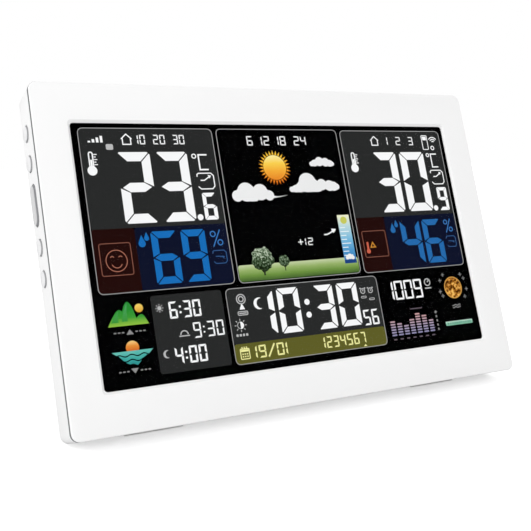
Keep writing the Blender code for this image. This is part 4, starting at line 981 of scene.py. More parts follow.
class STATION_OT_window(bpy.types.Operator):
    """Finish the clear window and the black display behind it"""

    bl_idname = "weather_station.window"
    bl_label = "Finish window and display"

    def execute(self, context):
        dress(self.coated_acrylic(context), "window_lens")
        dress(self.display_glass(context), "lcd_glass")
        return {"FINISHED"}

    def coated_acrylic(self, context):
        """Cast acrylic with a low-reflection coating: the display behind it keeps its black."""
        tint_spread, tint_change = 45, 0.01
        window = context.scene.case_colours.window
        look, tree, shader = new_finish(
            "acrylic_coated_clear", Transmission_Weight=1.0, Roughness=0.0, IOR=1.04
        )
        place = node(tree, "ShaderNodeTexCoord").outputs["Object"]
        wipe = node(
            tree, "ShaderNodeTexNoise", {"Vector": place, "Scale": per_metre(tint_spread), "Detail": 2.0}
        )
        tint = node(
            tree,
            "ShaderNodeMix",
            {
                "Factor": wipe.outputs["Fac"],
                "A": shaded(window, 1 - tint_change),
                "B": shaded(window, 1 + tint_change),
            },
            data_type="RGBA",
        )
        tree.links.new(tint.outputs[2], shader.inputs["Base Color"])
        return look

    def display_glass(self, context):
        """Liquid-crystal glass over a black mask: bonded behind the window, it has no gloss of its own."""
        cloud_size, cloud_change = 30, 0.4
        black = context.scene.case_colours.display
        look, tree, shader = new_finish("display_glass_black", Specular_IOR_Level=0.0, Roughness=0.4)
        place = node(tree, "ShaderNodeTexCoord").outputs["Object"]
        cloudy = node(
            tree, "ShaderNodeTexNoise", {"Vector": place, "Scale": per_metre(cloud_size), "Detail": 1.0}
        )
        tint = node(
            tree,
            "ShaderNodeMix",
            {
                "Factor": cloudy.outputs["Fac"],
                "A": shaded(black, 1 - cloud_change),
                "B": shaded(black, 1 + cloud_change),
            },
            data_type="RGBA",
        )
        tree.links.new(tint.outputs[2], shader.inputs["Base Color"])
        return look


class STATION_OT_panels(bpy.types.Operator):
    """Lay the lit panels and their outlines"""

    bl_idname = "weather_station.panels"
    bl_label = "Lay display panels"

    ROOM = Spot(-80.1, -44.8, -28.7, 14.5)
    FORECAST = Spot(-27.1, -44.8, 26.9, 14.7)
    OUTSIDE = Spot(28.5, -44.5, 79.9, 15.0)
    CLOCK = Spot(-33.4, 16.2, 33.4, 44.0)
    TIMES = Spot(-62.1, 16.3, -35.0, 43.5)
    ROOM_SPLIT, ROOM_STEP = -8.2, -64.4
    OUTSIDE_SPLIT, OUTSIDE_STEP = -7.6, 42.6
    DATE_TOP = 36.6
    CORNER = 1.0

    def execute(self, context):
        sizes = context.scene.display_sizes
        edge = sizes.outline / MM
        room, outside, clock = (inset(spot, edge) for spot in (self.ROOM, self.OUTSIDE, self.CLOCK))
        charcoal = [
            room._replace(bottom=self.ROOM_SPLIT),
            outside._replace(bottom=self.OUTSIDE_SPLIT),
            clock._replace(bottom=self.DATE_TOP),
            self.TIMES,
        ]
        maroon = [
            room._replace(top=self.ROOM_SPLIT, right=self.ROOM_STEP),
            outside._replace(top=self.OUTSIDE_SPLIT, right=self.OUTSIDE_STEP),
        ]
        navy = [
            room._replace(top=self.ROOM_SPLIT, left=self.ROOM_STEP),
            outside._replace(top=self.OUTSIDE_SPLIT, left=self.OUTSIDE_STEP),
        ]
        olive = [clock._replace(top=self.DATE_TOP)]
        colours = {"charcoal": charcoal, "maroon": maroon, "navy": navy, "olive": olive}
        for colour, spots in colours.items():
            add_panel(f"panel_{colour}", ink(colour), [box(spot, self.CORNER) for spot in spots])
        corner = sizes.outline_corner / MM
        framed = (self.ROOM, self.FORECAST, self.OUTSIDE, self.CLOCK)
        add_marks("panel_outlines", ink("line"), [frame_line(spot, corner, edge) for spot in framed])
        return {"FINISHED"}


class STATION_OT_room(bpy.types.Operator):
    """Set the room readout: temperature, comfort sign and humidity"""

    bl_idname = "weather_station.room"
    bl_label = "Set room readout"

    TENS, ONES = Spot(-67.1, -35.8, -54.7, -9.7), Spot(-52.6, -35.8, -40.2, -9.7)
    POINT, POINT_RADIUS = (-38.5, -10.9), 1.15
    TENTHS = Spot(-36.6, -20.0, -31.3, -9.8)
    GAUGE = Spot(-78.2, -36.1, -74.4, -27.4)
    UNIT, UNIT_WEIGHT = Spot(-38.5, -35.1, -32.3, -28.9), 1.4
    TREND = Spot(-37.4, -27.5, -30.8, -21.5)
    HOUSE = Spot(-64.6, -42.5, -60.6, -38.7)
    SCALE_LEFT, SCALE_TOP, SCALE_WIDTH, SCALE_HEIGHT, SCALE_SPACE = -58.6, -42.3, 2.0, 3.6, 0.55
    LEVELS_LEFT, LEVELS_FOOT = -76.8, -39.4
    LEVELS, LEVEL_STEP, LEVEL_WIDTH, LEVEL_RISE = 4, 1.5, 0.9, 0.6
    BADGE, BADGE_CORNER = Spot(-70.5, -38.8, -67.9, -36.7), 0.5
    WET_TENS, WET_ONES = Spot(-58.7, -6.5, -48.9, 12.5), Spot(-47.3, -6.5, -37.9, 12.5)
    DROPS = (((-62.2, -2.4), 1.3, 3.0), ((-60.3, -4.2), 0.9, 2.2))
    PERCENT = Spot(-35.9, -5.9, -31.0, 0.3)
    WET_TREND = Spot(-35.8, 1.8, -30.5, 6.6)
    COMFORT, COMFORT_CORNER = Spot(-78.0, -3.2, -66.5, 8.3), 0.9
    FACE, FACE_RADIUS, FACE_WEIGHT = (-72.2, 3.1), 3.9, 0.65

    def execute(self, context):
        large, middle, fine = bar_width("large_bar"), bar_width("middle_bar"), bar_width("fine_bar")
        white = digit("2", self.TENS, large) + digit("3", self.ONES, large)
        white += digit("6", self.TENTHS, bar_width("tenths_bar"), TENTHS_GAP)
        white.append(disc(self.POINT, self.POINT_RADIUS, 18))
        white += thermometer(self.GAUGE)
        white += degree_unit(self.UNIT, fine * self.UNIT_WEIGHT) + trend_box(self.TREND, fine)
        white += house(self.HOUSE, fine)
        size = (self.SCALE_WIDTH, self.SCALE_HEIGHT, fine, self.SCALE_SPACE)
        white += number("10 20 30", self.SCALE_LEFT, self.SCALE_TOP, *size)
        for i in range(self.LEVELS):
            left = self.LEVELS_LEFT + self.LEVEL_STEP * i
            top = self.LEVELS_FOOT - self.LEVEL_RISE * (i + 1)
            white.append(box(Spot(left, top, left + self.LEVEL_WIDTH, self.LEVELS_FOOT)))
        add_marks("room_temperature", ink("white"), white)
        add_marks("room_badge", ink("pale"), [box(self.BADGE, self.BADGE_CORNER)])
        blue = digit("6", self.WET_TENS, middle) + digit("9", self.WET_ONES, middle)
        blue += [drop(*shape) for shape in self.DROPS]
        add_marks("room_humidity", ink("blue"), blue)
        add_marks("room_percent", ink("blue_line"), percent(self.PERCENT, fine))
        add_marks("room_humidity_trend", ink("blue_box"), trend_box(self.WET_TREND, fine * LIGHT, False))
        edge = frame_line(self.COMFORT, self.COMFORT_CORNER, fine * HAIRLINE)
        add_marks("comfort_box", ink("rust"), [edge])
        add_marks("comfort_face", ink("orange"), self.smile(fine * self.FACE_WEIGHT))
        return {"FINISHED"}

    def smile(self, width):
        """A plain smiling face in lines."""
        x, y = self.FACE
        radius = self.FACE_RADIUS
        eyes = [
            sector((x + side * radius * 0.38, y - radius * 0.25), radius * 0.2, width, 200, 340, 6)
            for side in (-1, 1)
        ]
        mouth = sector((x, y + radius * 0.15), radius * 0.52, width, 20, 160, 10)
        return [ring(self.FACE, radius, width, 32), mouth, *eyes]


class STATION_OT_outside(bpy.types.Operator):
    """Set the outside readout: temperature, alarm sign and humidity"""

    bl_idname = "weather_station.outside"
    bl_label = "Set outside readout"

    TENS, ONES = Spot(42.9, -35.1, 54.5, -9.4), Spot(56.6, -35.1, 69.3, -9.4)
    POINT, POINT_RADIUS = (70.8, -10.3), 1.15
    TENTHS = Spot(72.9, -19.3, 78.1, -9.2)
    GAUGE = Spot(31.3, -35.2, 35.2, -26.7)
    UNIT, UNIT_WEIGHT = Spot(70.8, -34.6, 76.4, -28.4), 1.3
    TREND = Spot(71.5, -26.9, 78.0, -20.8)
    HOUSE = Spot(43.2, -42.0, 47.2, -38.2)
    SCALE_LEFT, SCALE_TOP, SCALE_WIDTH, SCALE_HEIGHT, SCALE_SPACE = 51.5, -41.8, 2.4, 3.6, 0.9
    SENDER, SENDER_CORNER = Spot(70.0, -42.6, 73.2, -36.1), 0.5
    SENDER_CELL = Spot(70.6, -42.0, 72.6, -40.4)
    AERIAL, AERIAL_RADII, AERIAL_ENDS = (76.0, -39.2), (0.9, 1.8, 2.7), (218, 322)
    LOOP, LOOP_RADIUS = (75.2, -36.9), 1.0
    WET_TENS, WET_ONES = Spot(50.1, -5.5, 60.0, 13.0), Spot(61.5, -5.5, 71.1, 13.0)
    DROPS = (((46.2, -1.8), 1.2, 2.9), ((48.2, -3.8), 0.9, 2.2))
    PERCENT = Spot(73.0, -5.3, 77.5, 0.6)
    WET_TREND = Spot(73.1, 2.2, 77.9, 6.8)
    ALARM, ALARM_CORNER = Spot(30.4, -2.1, 42.0, 8.8), 0.9
    BULB, BULB_RADIUS = (32.4, 6.2), 0.95
    BULB_TUBE, BULB_TUBE_CORNER = Spot(31.95, 2.4, 32.85, 5.4), 0.3
    WARNING, WARNING_REACH = (34.9, 4.0), 1.7

    def execute(self, context):
        large, middle, fine = bar_width("large_bar"), bar_width("middle_bar"), bar_width("fine_bar")
        white = digit("3", self.TENS, large) + digit("0", self.ONES, large)
        white += digit("9", self.TENTHS, bar_width("tenths_bar"), TENTHS_GAP)
        white.append(disc(self.POINT, self.POINT_RADIUS, 18))
        white += thermometer(self.GAUGE)
        white += degree_unit(self.UNIT, fine * self.UNIT_WEIGHT) + trend_box(self.TREND, fine)
        white += house(self.HOUSE, fine)
        size = (self.SCALE_WIDTH, self.SCALE_HEIGHT, fine, self.SCALE_SPACE)
        white += number("1 2 3", self.SCALE_LEFT, self.SCALE_TOP, *size)
        white += [frame_line(self.SENDER, self.SENDER_CORNER, fine * LIGHT), box(self.SENDER_CELL)]
        white += [sector(self.AERIAL, radius, fine, *self.AERIAL_ENDS, 8) for radius in self.AERIAL_RADII]
        white.append(ring(self.LOOP, self.LOOP_RADIUS, fine, 16))
        add_marks("outside_temperature", ink("white"), white)
        blue = digit("4", self.WET_TENS, middle) + digit("6", self.WET_ONES, middle)
        blue += [drop(*shape) for shape in self.DROPS]
        add_marks("outside_humidity", ink("far_blue"), blue)
        add_marks("outside_percent", ink("blue_line"), percent(self.PERCENT, fine))
        add_marks("outside_humidity_trend", ink("blue_box"), trend_box(self.WET_TREND, fine * LIGHT, False))
        edge = frame_line(self.ALARM, self.ALARM_CORNER, fine * HAIRLINE)
        add_marks("alarm_box", ink("rust"), [edge])
        bulb = [disc(self.BULB, self.BULB_RADIUS, 16), box(self.BULB_TUBE, self.BULB_TUBE_CORNER)]
        add_marks("alarm_bulb", ink("coral"), bulb)
        outer, inner = (arc(self.WARNING, self.WARNING_REACH * share, -90, 150, 2) for share in (1, 0.5))
        add_marks("alarm_triangle", ink("amber"), [(outer, inner)])
        return {"FINISHED"}


class STATION_OT_forecast(bpy.types.Operator):
    """Draw the forecast picture: sun, clouds, field, trees and trend bar"""

    bl_idname = "weather_station.forecast"
    bl_label = "Draw forecast picture"

    HOURS_LEFT, HOURS_TOP, HOURS_WIDTH, HOURS_HEIGHT, HOURS_SPACE = -14.5, -41.9, 2.4, 3.7, 0.7
    SUN, SUN_RADIUS, SUN_SPECKLE = (-4.2, -29.25), 5.0, (0.12, 5.0)
    SUN_RAYS, RAY_INNER, RAY_OUTER = 28, 5.25, 6.95
    LEFT_CLOUD = (
        (-22.2, -18.4, 2.2),
        (-18.3, -19.8, 3.7),
        (-15.5, -18.0, 2.3),
        (-12.3, -19.6, 3.2),
        (-8.6, -18.2, 2.0),
    )
    LEFT_BASE = -16.1
    CLOUD_TAIL = [(-8.0, -18.3), (-5.0, -17.7), (-0.4, -18.1), (-4.6, -17.4), (-8.2, -17.0)]
    MIDDLE_CLOUD = (
        (1.8, -20.3, 1.1),
        (3.5, -20.5, 1.5),
        (5.6, -20.9, 2.0),
        (9.3, -22.8, 4.0),
        (13.0, -21.0, 2.5),
        (15.7, -21.9, 2.3),
        (19.2, -21.4, 2.2),
        (21.2, -21.1, 1.9),
        (22.5, -20.9, 1.3),
    )
    MIDDLE_BASE = -19.0
    SMALL_CLOUD = (
        (12.7, -30.5, 1.0),
        (14.1, -30.8, 1.4),
        (16.4, -31.4, 1.9),
        (19.2, -31.1, 1.8),
        (21.2, -30.6, 1.4),
        (22.3, -30.4, 0.9),
    )
    SMALL_BASE = -29.25
    FIELD, FIELD_CORNER, FIELD_SPECKLE = Spot(-26.6, 8.0, 26.4, 14.2), 0.9, (0.07, 5.0)
    CROWNS = (((-16.0, 6.3), 4.6), ((-6.9, 7.5), 2.25))
    CROWN_SHADE, LEAF_SPECKLE = 1.3, (1.3, 0.7)
    TRUNK_HALF, TRUNK_LENGTH, TRUNK_START = 0.35, 1.5, 0.8
    BAR = Spot(20.2, -9.2, 25.7, 10.4)
    BAR_SUN, BAR_SUN_RADIUS = (22.9, -7.0), 1.5
    TICK_TOP, TICK_STEP, TICK_COUNT, TICK_HIGH = -4.2, 1.6, 8, 0.34
    LONG_TICK, SHORT_TICK, LONG_EVERY = 4.2, 2.6, 3
    BAR_CLOUD = ((21.7, 8.1, 0.8), (22.9, 7.7, 1.1), (24.2, 8.2, 0.8))
    BAR_FOOT = 9.0
    ARROW = [(12.8, -1.7), (14.6, -1.8), (17.4, -3.1)]
    ARROW_HEAD = [(16.4, -3.9), (18.7, -3.6), (17.2, -2.0)]
    ARROW_WEIGHT, CHANGE_WEIGHT = 1.2, 0.9
    CHANGE_LEFT, CHANGE_TOP, CHANGE_WIDTH, CHANGE_HEIGHT, CHANGE_SPACE = 0.6, -0.8, 2.2, 2.9, 0.9

    def execute(self, context):
        fine = bar_width("fine_bar")
        size = (self.HOURS_WIDTH, self.HOURS_HEIGHT, fine, self.HOURS_SPACE)
        hours = number("6 12 18 24", self.HOURS_LEFT, self.HOURS_TOP, *size)
        add_marks("hour_scale", ink("white"), hours)
        self.draw_sky()
        self.draw_field()
        self.draw_trend_bar()
        arrow = [stroke(smooth(self.ARROW), fine * self.ARROW_WEIGHT), self.ARROW_HEAD]
        size = (self.CHANGE_WIDTH, self.CHANGE_HEIGHT, fine * self.CHANGE_WEIGHT, self.CHANGE_SPACE)
        arrow += number("+12", self.CHANGE_LEFT, self.CHANGE_TOP, *size)
        add_marks("trend_arrow", ink("white"), arrow)
        return {"FINISHED"}

    def draw_sky(self):
        y = self.SUN[1]
        rays = lit_picture("sun_rays", RAY_BANDS, y - self.RAY_OUTER, y + self.RAY_OUTER)
        add_marks("sun_rays", rays, pointed_rays(self.SUN, self.SUN_RAYS, self.RAY_INNER, self.RAY_OUTER))
        sun = lit_picture("sun", SUN_BANDS, y - self.SUN_RADIUS, y + self.SUN_RADIUS, *self.SUN_SPECKLE)
        add_marks("sun_disc", sun, [disc(self.SUN, self.SUN_RADIUS, 40)])
        clouds = [
            cloud(self.LEFT_CLOUD, self.LEFT_BASE),
            cloud(self.MIDDLE_CLOUD, self.MIDDLE_BASE),
            cloud(self.SMALL_CLOUD, self.SMALL_BASE),
        ]
        add_details("clouds", ink("cloud"), clouds)
        add_marks("cloud_tail", ink("cloud"), [self.CLOUD_TAIL])

    def draw_field(self):
        spot = self.FIELD
        field = lit_picture("field", FIELD_BANDS, spot.top, spot.bottom, *self.FIELD_SPECKLE)
        add_panel("field", field, [box(spot, self.FIELD_CORNER)])
        (_, y), largest = self.CROWNS[0]
        reach = largest * self.CROWN_SHADE
        leaves = lit_picture("leaves", LEAF_BANDS, y - reach, y + reach, *self.LEAF_SPECKLE)
        add_marks("tree_crowns", leaves, [leafy(*crown) for crown in self.CROWNS])
        trunks = []
        for (x, y), radius in self.CROWNS:
            half = self.TRUNK_HALF * radius / largest
            top, bottom = y + radius * self.TRUNK_START, y + radius + self.TRUNK_LENGTH
            trunks.append(box(Spot(x - half, top, x + half, bottom)))
        add_details("tree_trunks", ink("bark"), trunks)

    def draw_trend_bar(self):
        bar = lit_picture("trend", TREND_BANDS, self.BAR.top, self.BAR.bottom)
        add_marks("trend_bar", bar, [box(self.BAR)])
        add_details("trend_sun", ink("glow"), [disc(self.BAR_SUN, self.BAR_SUN_RADIUS, 18)])
        left = self.BAR.left + self.TICK_HIGH / 2
        ticks = []
        for i in range(self.TICK_COUNT):
            top = self.TICK_TOP + self.TICK_STEP * i
            reach = self.LONG_TICK if i % self.LONG_EVERY == 1 else self.SHORT_TICK
            ticks.append(box(Spot(left, top, left + reach, top + self.TICK_HIGH)))
        add_details("trend_ticks", ink("tick"), ticks)
        add_details("trend_cloud", ink("cloud"), [cloud(self.BAR_CLOUD, self.BAR_FOOT, 20)])
        add_details("trend_foot", ink("deep"), [box(self.BAR._replace(top=self.BAR_FOOT))])


class STATION_OT_daylight(bpy.types.Operator):
    """Draw the sunrise and sunset signs and their times"""

    bl_idname = "weather_station.daylight"
    bl_label = "Draw daylight times"

    HILL_FOOT = 25.6
    LEFT_HILL = [
        (-78.3, HILL_FOOT),
        (-76.6, 22.8),
        (-74.8, 20.5),
        (-73.4, 20.2),
        (-71.6, 22.0),
        (-70.4, HILL_FOOT),
    ]
    PEAK_TOP = 17.5
    PEAK = [
        (-74.6, HILL_FOOT),
        (-73.2, 22.0),
        (-72.0, 18.8),
        (-70.7, PEAK_TOP),
        (-69.4, 18.9),
        (-68.4, 22.0),
        (-67.4, HILL_FOOT),
    ]
    RIGHT_HILL = [(-69.4, HILL_FOOT), (-68.0, 23.4), (-66.4, 22.2), (-65.2, 22.8), (-63.8, HILL_FOOT)]
    FACET_FOOT = 24.2
    FACET = [(-73.4, FACET_FOOT), (-72.3, 20.6), (-70.9, 17.9), (-71.3, 21.0), (-71.2, FACET_FOOT)]
    LEFT_FACET = [(-77.2, 24.4), (-75.6, 22.0), (-74.3, 20.7), (-74.6, 22.6), (-74.5, 24.4)]
    RISING, RISING_RADIUS, RISING_SPECKLE = (-66.7, 20.0), 1.5, (0.1, 1.5)
    SETTING, SETTING_RADIUS, SETTING_ENDS = (-70.8, 33.2), 2.35, (145, 395)
    SEA, SEA_SPECKLE = Spot(-78.3, 34.25, -63.7, 39.35), (0.25, 2.5)
    SEA_ROWS, SWELL, SWELL_LENGTH, ROW_GAP = 3, 0.35, 4.4, 0.42
    ROW_STEP, ROW_TAPER, ROW_POINTS = 2.2, 1.6, 20
    UP_SIGN, DOWN_SIGN, SIGN_MIDDLE, SIGN_HALF, SIGN_HIGH = 27.0, 40.2, -71.0, 1.3, 1.7
    DASHES, DASH_FIRST, DASH_STEP, DASH_LENGTH = 3, 2.4, 1.4, 0.8
    RISE_LEFT, RISE_TOP, SET_LEFT, SET_TOP = -55.8, 18.9, -55.9, 34.9
    TIME_WIDTH, TIME_HEIGHT, TIME_SPACE = 3.0, 6.0, 0.7
    LENGTH_LEFT, LENGTH_TOP, LENGTH_WIDTH, LENGTH_HEIGHT, LENGTH_SPACE = -47.8, 27.0, 2.9, 5.5, 0.8
    DAY_SIGN, DAY_RADIUS, DAY_RAYS, DAY_RAY_ENDS = (-59.3, 20.8), 0.75, 8, (1.0, 1.5)
    NIGHT_SIGN, NIGHT_RADIUS = (-58.8, 36.9), 1.4
    SPAN_SIGN, SPAN_RADIUS, SPAN_HALF, SPAN_DROP = (-51.4, 30.9), 1.6, 2.0, 0.4

    def execute(self, context):
        self.draw_hills()
        self.draw_sea()
        small, fine = bar_width("small_bar"), bar_width("fine_bar")
        size = (self.TIME_WIDTH, self.TIME_HEIGHT, small, self.TIME_SPACE)
        times = number("6:30", self.RISE_LEFT, self.RISE_TOP, *size)
        times += number("4:00", self.SET_LEFT, self.SET_TOP, *size)
        size = (self.LENGTH_WIDTH, self.LENGTH_HEIGHT, small * LIGHT, self.LENGTH_SPACE)
        times += number("9:30", self.LENGTH_LEFT, self.LENGTH_TOP, *size)
        add_marks("daylight_times", ink("white"), times)
        signs = [disc(self.DAY_SIGN, self.DAY_RADIUS, 14)]
        signs += spokes(self.DAY_SIGN, self.DAY_RAYS, *self.DAY_RAY_ENDS, fine * THIN)
        signs.append(crescent(self.NIGHT_SIGN, self.NIGHT_RADIUS))
        signs.append(sector(self.SPAN_SIGN, self.SPAN_RADIUS, fine, 180, 360, 10))
        x, y = self.SPAN_SIGN
        ground = y + self.SPAN_DROP
        signs.append(stroke([(x - self.SPAN_HALF, ground), (x + self.SPAN_HALF, ground)], fine))
        add_marks("daylight_signs", ink("pale"), signs)
        add_marks("daylight_arrows", ink("grey"), self.arrows())
        return {"FINISHED"}

    def draw_hills(self):
        hills = lit_picture("hills", HILL_BANDS, self.PEAK_TOP, self.HILL_FOOT)
        add_panel("hills_back", hills, [smooth(self.LEFT_HILL), smooth(self.RIGHT_HILL)])
        add_marks("hill_peak", hills, [smooth(self.PEAK)])
        facets = lit_picture("hill_facets", FACET_BANDS, self.PEAK_TOP, self.FACET_FOOT)
        add_details("hill_facets", facets, [self.FACET, self.LEFT_FACET])
        top, bottom = self.RISING[1] - self.RISING_RADIUS, self.RISING[1] + self.RISING_RADIUS
        rising = lit_picture("rising_sun", RISING_BANDS, top, bottom, *self.RISING_SPECKLE)
        add_marks("rising_sun", rising, [disc(self.RISING, self.RISING_RADIUS, 20)])

    def draw_sea(self):
        top = self.SETTING[1] - self.SETTING_RADIUS
        setting = lit_picture("setting_sun", SETTING_BANDS, top, self.SEA.top)
        # Cut off flat behind the first row of water
        disc_above = arc(self.SETTING, self.SETTING_RADIUS, *self.SETTING_ENDS, 24)
        add_panel("setting_sun", setting, [disc_above])
        sea = lit_picture("sea", SEA_BANDS, self.SEA.top, self.SEA.bottom, *self.SEA_SPECKLE)
        add_marks("sea", sea, [self.wave_row(row) for row in range(self.SEA_ROWS)])

    def wave_row(self, row):
        """One row of water between two swells, narrower the lower it is."""
        high = (self.SEA.bottom - self.SEA.top) / self.SEA_ROWS
        top = self.SEA.top + high * row
        left, right = self.SEA.left + self.ROW_STEP * row, self.SEA.right - self.ROW_STEP * row
        foot_left, foot_right = left + self.ROW_TAPER, right - self.ROW_TAPER
        swell_on_top = self.SWELL if row else 0
        over, under = [], []
        for i in range(self.ROW_POINTS + 1):
            share = i / self.ROW_POINTS
            x = left + (right - left) * share
            over.append((x, top + swell_on_top * math.sin(2 * math.pi * x / self.SWELL_LENGTH)))
            x = foot_left + (foot_right - foot_left) * share
            swell = self.SWELL * math.sin(2 * math.pi * x / self.SWELL_LENGTH)
            under.append((x, top + high - self.ROW_GAP + swell))
        return over + under[::-1]

    def arrows(self):
        """An arrow up for sunrise and one down for sunset, each between dashes."""
        x, half = self.SIGN_MIDDLE, self.SIGN_HALF
        patches = []
        for top, tip, base in (
            (self.UP_SIGN, self.UP_SIGN, self.UP_SIGN + self.SIGN_HIGH),
            (self.DOWN_SIGN, self.DOWN_SIGN + self.SIGN_HIGH, self.DOWN_SIGN),
        ):
            patches.append([(x - half, base), (x, tip), (x + half, base)])
            line = top + self.SIGN_HIGH / 2
            for side in (-1, 1):
                for step in range(self.DASHES):
                    middle = x + side * (self.DASH_FIRST + self.DASH_STEP * step)
                    reach = self.DASH_LENGTH / 2
                    patches.append(stroke([(middle - reach, line), (middle + reach, line)], reach))
        return patches


class STATION_OT_clock(bpy.types.Operator):
    """Set the clock, its signs and the date strip"""

    bl_idname = "weather_station.clock"
    bl_label = "Set clock"

    HOUR_TENS, HOUR_ONES = Spot(-24.1, 18.0, -14.4, 34.7), Spot(-12.6, 17.8, -3.4, 34.7)
    MINUTE_TENS, MINUTE_ONES = Spot(3.4, 18.0, 12.0, 34.9), Spot(13.9, 18.0, 23.2, 34.9)
    COLON, COLON_RADIUS = ((-0.1, 23.9), (-0.1, 28.8)), 1.15
    SECOND_TENS, SECOND_ONES = Spot(24.3, 29.4, 27.4, 35.5), Spot(28.2, 29.4, 31.3, 35.5)
    NIGHT, NIGHT_RADIUS = (-20.5, 22.6), 2.2
    MAST, MAST_RADII = (-27.6, 20.4), (1.95, 1.15)
    MAST_FOOT = [(-27.6, 21.9), (-26.5, 24.2), (-28.7, 24.2)]
    MAST_BADGE = Spot(-29.7, 24.8, -25.5, 26.4)
    HALF_SUN, HALF_SUN_RADIUS, HALF_SUN_RAYS, HALF_SUN_RAY_ENDS = (-29.3, 29.9), 1.35, 8, (1.7, 2.4)
    LABEL = Spot(-31.6, 33.0, -30.75, 33.9)
    LABELS, LABEL_STEP, LABEL_CORNER = 4, 1.3, 0.2
    ALARMS, ALARM_RADIUS = ((26.0, 21.9), (29.6, 21.9)), 1.15
    ALARM_BADGES = (Spot(24.7, 23.9, 27.3, 24.8), Spot(28.4, 24.9, 31.0, 25.8))
    BADGE_CORNER, BADGE_EDGE = 0.5, 0.6
    DATE_LEFT, DATE_TOP, DATE_WIDTH, DATE_HEIGHT, DATE_SPACE = -25.0, 37.8, 2.9, 4.6, 0.85
    DAYS_LEFT, DAYS_TOP, DAYS_WIDTH, DAYS_HEIGHT, DAYS_SPACE = 4.3, 37.8, 2.35, 4.4, 0.75
    DATE_WEIGHT, DAYS_WEIGHT, PAGE_WEIGHT = 1.5, 1.35, 0.9
    DAY_MARK = [(22.0, 43.4), (22.8, 42.6), (23.6, 43.4)]
    CALENDAR, CALENDAR_EDGE, CALENDAR_HEAD = Spot(-31.2, 38.3, -27.3, 42.3), 0.45, 1.2
    COLUMNS, ROWS, CELL, CELL_STEP = 3, 2, 0.5, 0.9
    COLUMN_START, ROW_START, RING_WIDTH, RING_HIGH = 0.9, 0.65, 0.4, 0.6

    def execute(self, context):
        bar, small, fine = bar_width("clock_bar"), bar_width("small_bar"), bar_width("fine_bar")
        white = digit("1", self.HOUR_TENS, bar) + digit("0", self.HOUR_ONES, bar)
        white += digit("3", self.MINUTE_TENS, bar) + digit("0", self.MINUTE_ONES, bar)
        white += [disc(dot, self.COLON_RADIUS, 18) for dot in self.COLON]
        white += digit("5", self.SECOND_TENS, small, SMALL_GAP)
        white += digit("6", self.SECOND_ONES, small, SMALL_GAP)
        white += [crescent(self.NIGHT, self.NIGHT_RADIUS), self.MAST_FOOT]
        white.append(arc(self.HALF_SUN, self.HALF_SUN_RADIUS, -90, 90, 10))
        add_marks("clock_digits", ink("white"), white)
        signs = [ring(self.MAST, radius, fine, 20) for radius in self.MAST_RADII]
        signs.append(frame_line(self.MAST_BADGE, self.BADGE_CORNER, fine * LIGHT))
        signs.append(box(inset(self.MAST_BADGE, self.BADGE_EDGE)))
        signs.append(sector(self.HALF_SUN, self.HALF_SUN_RADIUS, fine * HAIRLINE, 90, 270, 10))
        signs += spokes(self.HALF_SUN, self.HALF_SUN_RAYS, *self.HALF_SUN_RAY_ENDS, fine * THIN)
        for clock in self.ALARMS:
            signs += alarm_clock(clock, self.ALARM_RADIUS, fine * LIGHT)
        signs += [frame_line(spot, self.BADGE_CORNER, fine * HAIRLINE) for spot in self.ALARM_BADGES]
        for i in range(self.LABELS):
            step = self.LABEL_STEP * i
            label = self.LABEL._replace(left=self.LABEL.left + step, right=self.LABEL.right + step)
            signs.append(box(label, self.LABEL_CORNER))
        add_marks("clock_signs", ink("pale"), signs)
        add_marks("date_digits", ink("straw"), self.date(fine))
        return {"FINISHED"}

    def date(self, fine):
        """Day and month, the seven weekdays with a mark under one, and a calendar sign."""
        size = (self.DATE_WIDTH, self.DATE_HEIGHT, fine * self.DATE_WEIGHT, self.DATE_SPACE)
        patches = number("19/01", self.DATE_LEFT, self.DATE_TOP, *size)
        size = (self.DAYS_WIDTH, self.DAYS_HEIGHT, fine * self.DAYS_WEIGHT, self.DAYS_SPACE)
        patches += number("1234567", self.DAYS_LEFT, self.DAYS_TOP, *size)
        patches.append(self.DAY_MARK)
        page = self.CALENDAR
        inside = inset(page, self.CALENDAR_EDGE)
        patches.append(frame_line(page, self.CALENDAR_EDGE, fine * self.PAGE_WEIGHT))
        patches.append(box(inside._replace(bottom=page.top + self.CALENDAR_HEAD)))
        for column in range(self.COLUMNS):
            left = page.left + self.CELL_STEP * (column + self.COLUMN_START)
            patches.append(box(Spot(left, page.top - self.RING_HIGH, left + self.RING_WIDTH, page.top)))
            for row in range(self.ROWS):
                top = page.top + self.CALENDAR_HEAD + self.CELL_STEP * (row + self.ROW_START)
                patches.append(box(Spot(left, top, left + self.CELL, top + self.CELL)))
        return patches


